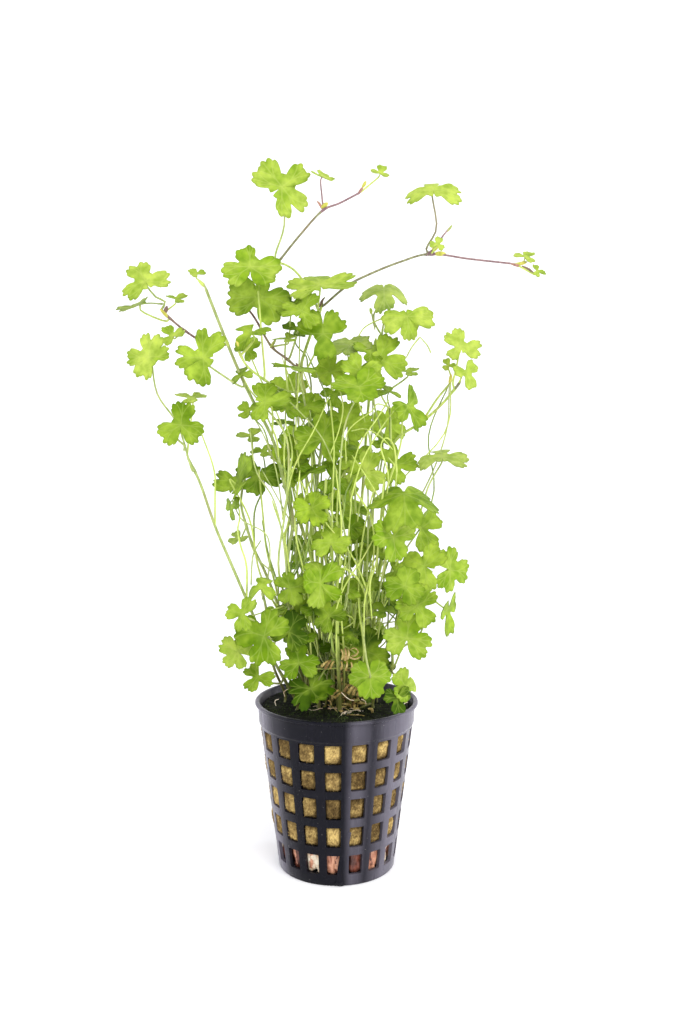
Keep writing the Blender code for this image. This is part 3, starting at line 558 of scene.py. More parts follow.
class Piece:
    """One piece of the object, gathered from small shapes in millimetres, each with its own finish."""

    def __init__(self, name: str, finishes: Finishes) -> None:
        """Starts an empty piece.

        Args:
            name: Its name.
            finishes: Where its materials come from.
        """
        self.name = name
        self.finishes = finishes
        self.slots: dict[Key, int] = {}
        self.mesh = bmesh.new()
        self.mesh.loops.layers.uv.new("blade")
        self.mesh.loops.layers.uv.new("rim")

    def slot(self, key: Key) -> int:
        """The number of the piece's material slot with this finish."""
        return self.slots.setdefault(key, len(self.slots))

    def add(self, shape: Shape, key: Key | None = None) -> None:
        """Joins a shape to the piece and frees it.

        Args:
            shape: The shape.
            key: Its finish, or None where its faces have their numbers already.
        """
        for face in shape.faces:
            face.smooth = True
            if key is not None:
                face.material_index = self.slot(key)
        passing = bpy.data.meshes.new("passing")
        shape.to_mesh(passing)
        shape.free()
        self.mesh.from_mesh(passing)
        bpy.data.meshes.remove(passing)

    def finish(self, slot: str, replaced: Iterable[str] = (), sharp: float = 50.0) -> bpy.types.Object:
        """Makes the object in metres, rides it on the body and reports it.

        Args:
            slot: The record's material slot; not used.
            replaced: The CAD nodes that it stands for.
            sharp: The angle in degrees past which an edge is sharp.

        Returns:
            The object.
        """
        bmesh.ops.scale(self.mesh, vec=(MM, MM, MM), verts=self.mesh.verts[:])
        data = bpy.data.meshes.new(self.name)
        self.mesh.to_mesh(data)
        self.mesh.free()
        data.set_sharp_from_angle(angle=math.radians(sharp))
        for key in self.slots:
            data.materials.append(self.finishes[key])
        obj = bpy.data.objects.new(self.name, data)
        bpy.context.scene.collection.objects.link(obj)
        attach(obj, BODY)
        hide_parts(*replaced)
        data.calc_loop_triangles()
        log.info("%s: %d triangles", self.name, len(data.loop_triangles))
        return obj


def swept(line: Sequence[Vector], radii: Sequence[float], sides: int) -> Shape:
    """A closed round bar along a line of points.

    Args:
        line: Its middle line.
        radii: Its radius at each point.
        sides: The number of its sides.

    Returns:
        The bar.
    """
    bar = bmesh.new()
    ring = bmesh.ops.create_circle(bar, cap_ends=False, segments=sides, radius=1.0)
    edges = list({edge for vert in ring["verts"] for edge in vert.link_edges})
    bmesh.ops.spin(
        bar, geom=ring["verts"] + edges, cent=(0, 0, 0), axis=(0, 0, 1), dvec=(0, 0, 1), angle=0.0,
        steps=len(line) - 1, use_merge=False, use_duplicate=False, use_normal_flip=False,
    )
    bmesh.ops.holes_fill(bar, edges=[edge for edge in bar.edges if edge.is_boundary], sides=0)
    frames = []
    side = direction(line, 0).orthogonal().normalized()
    for index in range(len(line)):
        ahead = direction(line, index)
        side = (side - side.dot(ahead) * ahead).normalized()
        frames.append((side, ahead.cross(side)))
    for vert in bar.verts:
        index = min(max(round(vert.co.z), 0), len(line) - 1)
        right, up = frames[index]
        vert.co = line[index] + radii[index] * (vert.co.x * right + vert.co.y * up)
    bmesh.ops.recalc_face_normals(bar, faces=bar.faces[:])
    return bar


def spun(section: Sequence[Pair], steps: int, start: float = 0.0, cuts: int = 0, up: float = 1.0) -> Shape:
    """A shape spun all the way round the upright axis.

    Args:
        section: Its outline as (radius, height).
        steps: The number of steps round.
        start: Where the outline stands, in radians from the front.
        cuts: How many more points each edge of the outline gets.
        up: 1 to spin one way round, or -1 for the other.

    Returns:
        The shape.
    """
    shape = bmesh.new()
    verts = [shape.verts.new(around(start, radius, height)) for radius, height in section]
    edges = [shape.edges.new(pair) for pair in zip(verts, verts[1:])]
    if cuts:
        bmesh.ops.subdivide_edges(shape, edges=edges, cuts=cuts)
    bmesh.ops.spin(
        shape, geom=shape.verts[:] + shape.edges[:], cent=(0, 0, 0), axis=(0, 0, up), dvec=(0, 0, 0),
        angle=math.tau, steps=steps, use_merge=True, use_duplicate=False, use_normal_flip=False,
    )
    bmesh.ops.remove_doubles(shape, verts=shape.verts[:], dist=0.001)
    bmesh.ops.recalc_face_normals(shape, faces=shape.faces[:])
    return shape


def rounded(shape: Shape, edges: Iterable[bmesh.types.BMEdge], offset: float, segments: int) -> list[Face]:
    """Rounds some edges.

    Args:
        shape: The shape.
        edges: Its edges to round.
        offset: How far in from each edge the rounding starts.
        segments: The number of its steps.

    Returns:
        The new faces.
    """
    return bmesh.ops.bevel(
        shape, geom=list(edges), offset=offset, offset_type="OFFSET", segments=segments, profile=0.5,
        affect="EDGES", material=-1, clamp_overlap=True,
    )["faces"]


def many_copies(shape: Shape, turns: Iterable[Matrix]) -> Shape:
    """One joined mesh of many copies of a small shape.

    Args:
        shape: The small shape, which is freed.
        turns: One matrix for each copy.

    Returns:
        The joined mesh.
    """
    joined = bmesh.new()
    passing = bpy.data.meshes.new("passing")
    for turn in turns:
        copy = shape.copy()
        copy.transform(turn)
        copy.to_mesh(passing)
        copy.free()
        joined.from_mesh(passing)
    bpy.data.meshes.remove(passing)
    shape.free()
    return joined


@dataclass
class NetPot:
    """The moulded net pot: a tapered wall with rows of windows, a plain band with a lip, and a slotted floor."""

    finishes: Finishes
    columns: int = 18
    first_column: float = -2.5
    base_radius: float = 18.9
    step_radius: float = 24.8
    step_height: float = 47.9
    wall: float = 1.1
    floor: float = 1.3
    rows: tuple[Pair, ...] = ((3.9, 10.4), (13.2, 19.9), (22.6, 29.4), (32.0, 38.4), (40.9, 47.2))
    slots: Pair = (8.5, 15.6)
    corner: float = 0.75
    edge: float = 0.15
    steps_per_column: int = 8
    open_steps: int = 5
    strap_places: tuple[Place, ...] = (
        (10.6, 18.5, 0.75), (8.2, 14.0, 0.85), (5.2, 9.5, 0.95), (3.6, 5.0, 1.0), (2.9, 1.6, 1.15))
    strap_gap: float = 0.12
    strap_tab: Place = (-0.1, -0.2, -0.9)
    tab_radius: float = 1.5
    strap_flatness: float = 0.2

    def wall_radius(self, height: float) -> float:
        """Outer radius of the tapering wall."""
        return self.base_radius + (self.step_radius - self.base_radius) * height / self.step_height

    def step(self) -> float:
        """The turn of one step round, in radians."""
        return math.tau / self.columns / self.steps_per_column

    def start(self) -> float:
        """The turn of the first window's left edge, in radians from the front."""
        return math.radians(self.first_column) - self.open_steps / 2 * self.step()

    def profile(self) -> list[Pair]:
        """The closed outline of the pot's section, from its underside round to its floor.

        Returns:
            Its points as (radius, height).
        """
        wall = [(self.wall_radius(level), level) for row in self.rows for level in row]
        under = [(0.0, 0.0), (self.slots[0], 0.0), (self.slots[1], 0.0), (18.35, 0.0), (18.72, 0.12), (18.92, 0.4)]
        band = [
            (self.wall_radius(47.75), 47.75), (24.95, 47.98), (25.18, 48.25), (25.25, 48.6), (25.33, 50.6),
            (25.46, 53.2), (25.56, 53.62), (25.9, 53.86), (26.28, 53.98), (26.42, 54.2), (26.42, 54.55),
            (26.28, 54.8), (26.0, 54.95), (25.6, 55.0), (25.2, 54.9), (24.9, 54.6),
        ]
        inside = [(radius - self.wall, level) for radius, level in reversed(wall)]
        floor = [
            (self.wall_radius(1.6) - self.wall, 2.0), (17.6, 1.4), (17.2, self.floor), (self.slots[1], self.floor),
            (self.slots[0], self.floor), (0.0, self.floor),
        ]
        return under + wall + band + inside + floor

    def window_of(self, point: Vector) -> tuple[int, int, bool] | None:
        """The window or floor slot that a face lies in.

        Args:
            point: The face's middle.

        Returns:
            The row (-1 in the floor), the column and whether it is the outer skin, or None.
        """
        turn = (math.atan2(point.x, -point.y) - self.start()) % math.tau
        column, part = divmod(int(turn / self.step() + 1e-6), self.steps_per_column)
        if part >= self.open_steps:
            return None
        radius = math.hypot(point.x, point.y)
        if point.z < self.floor + 0.2 and self.slots[0] < radius < self.slots[1]:
            return -1, column, point.z < self.floor / 2
        for row, (low, high) in enumerate(self.rows):
            if low < point.z < high and radius > self.slots[1]:
                return row, column, radius > self.wall_radius(point.z) - self.wall / 2
        return None

    def shell(self) -> Shape:
        """The pot's skin, spun from its section, with a wall round every window.

        Returns:
            The skin.
        """
        shape = spun(self.profile(), self.columns * self.steps_per_column, self.start())
        loops: dict[tuple[int, int], set] = {}
        gone = []
        for face in shape.faces:
            found = self.window_of(face.calc_center_median())
            if found:
                gone.append(face)
                loops.setdefault(found[:2], set()).update(
                    edge for edge in face.edges
                    if any(self.window_of(other.calc_center_median()) is None for other in edge.link_faces)
                )
        bmesh.ops.delete(shape, geom=gone, context="FACES_KEEP_BOUNDARY")
        rims = []
        for edges in loops.values():
            rims += bmesh.ops.bridge_loops(shape, edges=list(edges))["faces"]
        self.soften(shape, rims)
        bmesh.ops.recalc_face_normals(shape, faces=shape.faces[:])
        return shape

    def soften(self, shape: Shape, rims: list[Face]) -> None:
        """Rounds the corners of the windows, and then their edges.

        Args:
            shape: The pot's skin.
            rims: The faces inside the windows.
        """
        inside = set(rims)
        corners = {
            edge for face in rims for edge in face.edges
            if all(other in inside for other in edge.link_faces) and edge.calc_face_angle(0.0) > math.radians(50)
        }
        inside = {face for face in inside | set(rounded(shape, corners, self.corner, 3)) if face.is_valid}
        outline = {
            edge for face in inside for edge in face.edges
            if any(other not in inside for other in edge.link_faces)
        }
        rounded(shape, outline, self.edge, 2)

    def strap(self) -> Shape:
        """The thin dark strip that hangs down over the lowest bars at the front and ends in a tab at the base.

        Returns:
            The strip.
        """
        line = [
            around(math.radians(turn), self.wall_radius(height) + self.strap_gap, height)
            for turn, height, _ in self.strap_places
        ]
        line.append(line[-1] + Vector(self.strap_tab))
        path = curve(line, 20)
        widths = [width for _, _, width in self.strap_places] + [self.tab_radius]
        radii = np.interp(np.linspace(0, 1, len(path)), np.linspace(0, 1, len(widths)), widths)
        bar = swept(path, radii.tolist(), 10)
        for vert in bar.verts:
            middle = nearest(path, vert.co).y
            vert.co.y = middle + self.strap_flatness * (vert.co.y - middle)
        return bar

    def build(self) -> None:
        """Makes the pot's piece."""
        piece = Piece("pot_moulded", self.finishes)
        piece.add(self.shell(), "black_plastic")
        piece.add(self.strap(), "black_plastic")
        piece.finish("pot_plastic", ["pot"], 40.0)


@dataclass
class WoolPlug:
    """The rock wool that fills the pot and swells a little into its windows, with a wet mossy top."""

    finishes: Finishes
    pot: NetPot
    bottom: float = 11.4
    top: float = 51.8
    mound: float = 1.5
    shift: float = -0.3
    slack: float = 0.65
    swell: float = 1.35
    steps_round: int = 288
    steps_up: int = 96
    strand_count: int = 2400
    leaflet_count: int = 1500
    moss_reach: float = 23.6
    bare_below: float = -0.12
    pillow_turn: float = 6.7
    pillow_past: float = 0.15
    pillow_power: int = 6
    rng: Random = field(default_factory=lambda: Random(11))

    def radius(self, height: float) -> float:
        """Radius of the plug: the pot's inside less the slack that it keeps."""
        return self.pot.wall_radius(height) - self.pot.wall - self.slack

    def pillow(self, turn: float, height: float) -> float:
        """How far the wool swells into a window.

        Args:
            turn: The place's turn from the front, in radians.
            height: Its height.

        Returns:
            From 0, beside the windows, to 1.
        """
        column = math.tau / self.pot.columns
        away = (turn - math.radians(self.pot.first_column) + column / 2) % column - column / 2
        wide = away / math.radians(self.pillow_turn)
        for low, high in self.pot.rows[1:]:
            tall = (height - (low + high) / 2) / ((high - low) / 2 + self.pillow_past)
            if abs(tall) < 1.0 and abs(wide) < 1.0:
                return (1 - wide ** self.pillow_power) * (1 - tall ** self.pillow_power)
        return 0.0

    def side(self) -> Shape:
        """The plug's body, spun from its section and then swollen and roughened.

        Returns:
            The body.
        """
        levels = [self.bottom + (self.top - self.bottom) * step / self.steps_up for step in range(self.steps_up + 1)]
        section = [(0.0, self.bottom)] + [(self.radius(level), level) for level in levels]
        section += [(self.radius(self.top) * part, self.top) for part in (0.97, 0.9, 0.78, 0.62, 0.44, 0.24, 0.0)]
        shape = spun(section, self.steps_round)
        for vert in shape.verts:
            self.roughen(vert)
        return shape

    def roughen(self, vert: bmesh.types.BMVert) -> None:
        """Moves a point of the body outwards into its window, and a little at random.

        Args:
            vert: The point.
        """
        height = vert.co.z
        turn = math.atan2(vert.co.x, -vert.co.y)
        radius = math.hypot(vert.co.x, vert.co.y)
        rough = noise.noise(Vector((vert.co.x, vert.co.y, vert.co.z * 0.6)) * 1.1)
        fine = noise.noise(vert.co * 2.9)
        if radius > 0.985 * self.radius(height) and self.bottom + 0.2 < height < self.top - 0.2:
            swell = self.swell + 0.6 * noise.noise(Vector((math.sin(turn) * 3, math.cos(turn) * 3, height * 0.16)))
            vert.co = around(turn, radius + self.pillow(turn, height) * swell + 0.3 * rough + 0.2 * fine, height)
        elif height > self.top - 0.2:
            vert.co.z += self.mound - 0.35 + 0.5 * rough + 0.3 * fine
        vert.co.x += self.shift

    def strands(self) -> Shape:
        """Loose fibres that stand out of the wool in the windows.

        Returns:
            The fibres.
        """
        rng, turns = self.rng, []
        fibre = swept([Vector((0, 0, 0)), Vector((0.18, 0, 1)), Vector((0.1, 0.15, 2)), Vector((-0.1, 0, 3))],
                      [0.05, 0.05, 0.04, 0.02], 3)
        while len(turns) < self.strand_count:
            turn = rng.uniform(-math.pi, math.pi)
            height = rng.uniform(self.bottom + 1.0, self.top - 1.5)
            swell = self.pillow(turn, height)
            if swell < 0.25:
                continue
            out = self.radius(height) + swell * self.swell + rng.uniform(-0.1, 0.25)
            place = around(turn, out, height) + Vector((self.shift, 0.0, 0.0))
            lean = Matrix.Rotation(turn, 4, "Z") @ Matrix.Rotation(rng.gauss(0.0, 0.9), 4, "Y")
            lean = lean @ Matrix.Rotation(rng.gauss(0.1, 0.12), 4, "X")
            size = Matrix.Diagonal((1.0, 1.0, rng.uniform(0.3, 0.8), 1.0))
            turns.append(Matrix.Translation(place) @ lean @ size @ Matrix.Translation((0, 0, -1.5)))
        return many_copies(fibre, turns)

    def moss(self) -> Shape:
        """Tiny curled leaflets over the wet top.

        Returns:
            The leaflets.
        """
        rng, turns = self.rng, []
        leaflet = bmesh.new()
        bmesh.ops.create_icosphere(leaflet, subdivisions=1, radius=0.26)
        bmesh.ops.scale(leaflet, vec=(0.45, 1.0, 0.35), verts=leaflet.verts[:])
        while len(turns) < self.leaflet_count:
            turn = rng.uniform(-math.pi, math.pi)
            out = self.moss_reach * math.sqrt(rng.random())
            if noise.noise(Vector((math.sin(turn) * out * 0.22, math.cos(turn) * out * 0.22, 4.0))) < self.bare_below:
                continue
            place = around(turn, 0.98 * out, self.top + self.mound + rng.uniform(-0.5, 0.3))
            place.x += self.shift
            lean = Matrix.Rotation(rng.uniform(0, math.tau), 4, "Z") @ Matrix.Rotation(rng.uniform(-0.8, 0.8), 4, "X")
            turns.append(Matrix.Translation(place) @ lean @ Matrix.Scale(rng.uniform(0.5, 1.6), 4))
        return many_copies(leaflet, turns)

    def build(self) -> None:
        """Makes the plug's pieces."""
        piece = Piece("wool_plug", self.finishes)
        body = self.side()
        wool, wet = piece.slot("wool_fibre"), piece.slot("wet_top")
        for face in body.faces:
            face.material_index = wet if face.calc_center_median().z > self.top - 0.9 else wool
        piece.add(body)
        piece.finish("rock_wool", ["rock_wool"], 80.0)
        for name, make, key in (("wool_strands", self.strands, STRAND), ("wool_moss", self.moss, "moss")):
            piece = Piece(name, self.finishes)
            piece.add(make(), key)
            piece.finish("rock_wool")


@dataclass
class RootMass:
    """The matted roots under the plug: a dark heart with brown, pink and cream roots wound round it."""

    finishes: Finishes
    pot: NetPot
    levels: tuple[Pair, ...] = ((1.7, 9.6), (2.3, 10.8), (5.0, 13.4), (8.0, 14.4), (11.0, 15.0))
    wound: int = 70
    uprights: int = 7
    plain_uprights: int = 5
    lowest: float = 1.5
    highest: float = 11.2
    sway: float = 1.1
    front: tuple[tuple[int, str], ...] = (
        (16, BROWN), (17, CREAM), (0, PINK), (1, BROWN), (2, PINK), (3, CREAM))
    rng: Random = field(default_factory=lambda: Random(5))

    def heart(self) -> Shape:
        """The dark middle of the mass.

        Returns:
            The middle.
        """
        section = [(0.0, self.levels[0][0])] + [(radius, height) for height, radius in self.levels]
        shape = spun(section + [(0.0, self.levels[-1][0])], 96, cuts=3)
        for vert in shape.verts:
            part = 1.0 + 0.07 * noise.noise(vert.co * 0.5) + 0.04 * noise.noise(vert.co * 1.6)
            vert.co.x *= part
            vert.co.y *= part
        return shape

    def room(self, level: float, thick: float) -> float:
        """How far out a root of this radius can lie at a height."""
        return self.pot.wall_radius(level) - self.pot.wall - thick

    def root(self, turn: float, height: float, sweep: float, thick: float, out: float) -> Shape:
        """One root wound partly round the mass.

        Args:
            turn: Where it starts, in degrees from the front.
            height: Its height above the floor.
            sweep: How far it winds, in degrees.
            thick: Its radius.
            out: How far out it lies, added to the heart's radius.

        Returns:
            The root's bar.
        """
        points = []
        for step in range(6):
            level = height + self.rng.uniform(-self.sway, self.sway)
            level = min(max(level, self.lowest + thick), self.highest)
            heart = np.interp(level, [row[0] for row in self.levels], [row[1] for row in self.levels])
            radius = min(heart + out + self.rng.uniform(-0.3, 0.3), self.room(level, thick) - 0.25)
            points.append(around(math.radians(turn + sweep * step / 5), radius, level))
        line = curve(points, 18)
        radii = [thick * (1.0 + 0.18 * noise.noise(point * 0.8)) for point in line]
        return swept(line, rounded_ends(radii), 7)

    def upright(self, turn: float, thick: float) -> Shape:
        """A short thick root that lies slantwise behind a lowest window.

        Args:
            turn: Its turn from the front, in degrees.
            thick: Its radius.

        Returns:
            The root's bar.
        """
        points = []
        lean = self.rng.uniform(-5.0, 5.0)
        foot = self.rng.uniform(2.7, 4.4)
        for step in range(4):
            level = foot + (11.0 - foot) * step / 3
            angle = math.radians(turn + lean * step / 3 + self.rng.uniform(-1.2, 1.2))
            points.append(around(angle, self.room(level, thick) - self.rng.uniform(0.15, 0.5), level))
        line = curve(points, 10)
        radii = [thick * (1.0 + 0.2 * noise.noise(point * 0.9)) for point in line]
        return swept(line, rounded_ends(radii), 8)

    def build(self) -> None:
        """Makes the mass's piece."""
        rng = self.rng
        piece = Piece("root_mass", self.finishes)
        piece.add(self.heart(), BROWN)
        for _ in range(self.wound):
            key = rng.choice((BROWN, BROWN, PINK))
            piece.add(self.root(
                rng.uniform(0, 360), rng.uniform(2.4, 11.0), rng.uniform(-70, 70), rng.uniform(0.35, 0.7),
                rng.uniform(-0.1, 1.1)), key)
        tones = {key: (BROWN, PINK, CREAM)[key % 3] for key in range(self.pot.columns)}
        tones.update(self.front)
        for column, key in tones.items():
            middle = self.pot.first_column + 360 / self.pot.columns * column
            for step in range(self.uprights):
                other = rng.choice((PINK, BROWN)) if step >= self.plain_uprights else key
                piece.add(self.upright(middle + rng.uniform(-6.0, 6.0), rng.uniform(0.75, 1.3)), other)
        piece.finish("roots", ["roots"], 80.0)


@dataclass(frozen=True)
class StemRow:
    """A stem that rises from the wool: its name, where it roots, its end radii and its places on the drawing."""

    name: str
    root: Pair
    radii: Pair
    places: tuple[Place, ...]


@dataclass(frozen=True)
class TwigRow:
    """A runner, which has a name, or a side branch: the stem that it starts on, its end radii and its places, of
    which the first is the node."""

    stem: str
    radii: Pair
    places: tuple[Place, ...]
    name: str = ""
    finish: str = "stem_green"
    purple_past: float = 100.0


@dataclass(frozen=True)
class LeafRow:
    """A leaf as the part's source settled it, with the places that its stalk passes."""

    stem: str
    number: int
    spot: Place
    size: float
    yaw: float
    pitch: float
    spin: float
    cup: float
    shade: LeafShade
    joint: Pair
    via: tuple[Place, ...] = ()
    slide: float = 0.0
    bow: float = 0.0
    fold: float = 0.0
    underside: bool = False


@dataclass(frozen=True)
class YoungRow:
    """A young leaf: its stem, its foot, its middle, and how it is turned."""

    stem: str
    foot: Place
    spot: Place
    size: float
    yaw: float
    pitch: float
    spin: float
    stalk: str = GREEN
    shade: LeafShade = LIME


STEMS = [StemRow(*row) for row in (
    ("stem_left_tall", (-6, -4), (0.75, 0.6), ((303, 655, -6), (288, 600, -9), (288, 555, -11), (293, 520, -11),
     (284, 483, -10), (273, 440, -9), (253, 401, -8), (238, 369, -7), (222, 330, -5), (204, 284, -3))),
    ("stem_left_low", (-13, -6), (0.65, 0.5), ((268, 650, -16), (248, 603, -19), (229, 559, -20),
     (215, 526, -19), (200, 483, -17), (187, 456, -15))),
    ("stem_centre", (-1, 6), (0.75, 0.6), ((325, 640, 8), (322, 560, 9), (316, 480, 8), (308, 410, 5),
     (301, 372, 2), (307, 345, 1), (323, 303, 2))),
    ("stem_right", (7, 1), (0.75, 0.5), ((370, 650, 2), (374, 619, 0), (378, 575, -1), (384, 545, -1),
     (391, 500, 2), (389, 457, 4), (399, 437, 3), (422, 422, 1), (443, 403, -1), (458, 385, -3))),
    ("stem_right_low", (12, -4), (0.65, 0.5), ((391, 672, -8), (393, 645, -10), (402, 612, -9),
     (418, 588, -7))),
    ("stem_front", (1, -8), (0.8, 0.6), ((338, 655, -12), (337, 624, -14), (336, 603, -14), (338, 568, -14),
     (337, 540, -13), (326, 507, -11), (326, 478, -9))),
    ("stem_back", (6, 11), (0.7, 0.55), ((362, 620, 15), (360, 540, 16), (364, 470, 15), (368, 410, 11),
     (373, 370, 8), (376, 338, 6))),
    ("stem_rear", (-4, 14), (0.7, 0.55), ((318, 620, 22), (312, 540, 24), (318, 470, 22), (330, 420, 18),
     (333, 388, 16))),
    ("stem_left_front", (-17, 3), (0.6, 0.5), ((274, 668, -4), (268, 640, -8), (266, 609, -12),
     (262, 592, -14))),
    ("stem_left_mid", (-10, 8), (0.65, 0.5), ((288, 640, 4), (276, 600, 1), (265, 572, -1), (255, 551, -2),
     (246, 525, -1), (241, 500, 1), (247, 470, 3), (253, 454, 3))),
)]
TWIGS = [TwigRow(*row) for row in (
    ("stem_centre", (0.5, 0.4), ((321, 306, 2), (347, 286, 0), (370, 274, 0), (400, 262, 0), (430, 254, 0),
     (470, 259, -1), (515, 264, -2)), "runner_right", "runner_brown", 29.5),
    ("stem_centre", (0.5, 0.42), ((319, 312, 2), (309, 290, 6), (297, 273, 8), (286, 265, 8), (274, 262, 7)),
     "runner_top"),
    ("runner_top", (0.5, 0.4), ((278, 262, 7), (300, 235, 5), (322, 211, 3), (340, 203, 3), (361, 192, 3)), "",
     "runner_brown", -5.0),
    ("stem_left_tall", (0.5, 0.42), ((229, 346, -6), (206, 343, -1), (184, 330, 1), (164, 313, 1)), "", PURPLE),
    ("stem_centre", (0.5, 0.42), ((301, 372, 2), (287, 359, -1), (271, 346, -2), (254, 317, 2), (237, 296, 4),
     (229, 287, 5)), "", PURPLE),
    ("stem_centre", (0.48, 0.42), ((304, 392, 4), (290, 392, 0), (275, 386, -5), (262, 378, -10),
     (247, 366, -14), (238, 350, -15))),
    ("stem_right", (0.48, 0.4), ((424, 421, 1), (437, 399, 4), (450, 383, 4), (451, 376, 3))),
    ("runner_right", (0.4, 0.3), ((430, 254, 0), (440, 240, -1), (450, 227, -1)), "", "runner_purple"),
)]
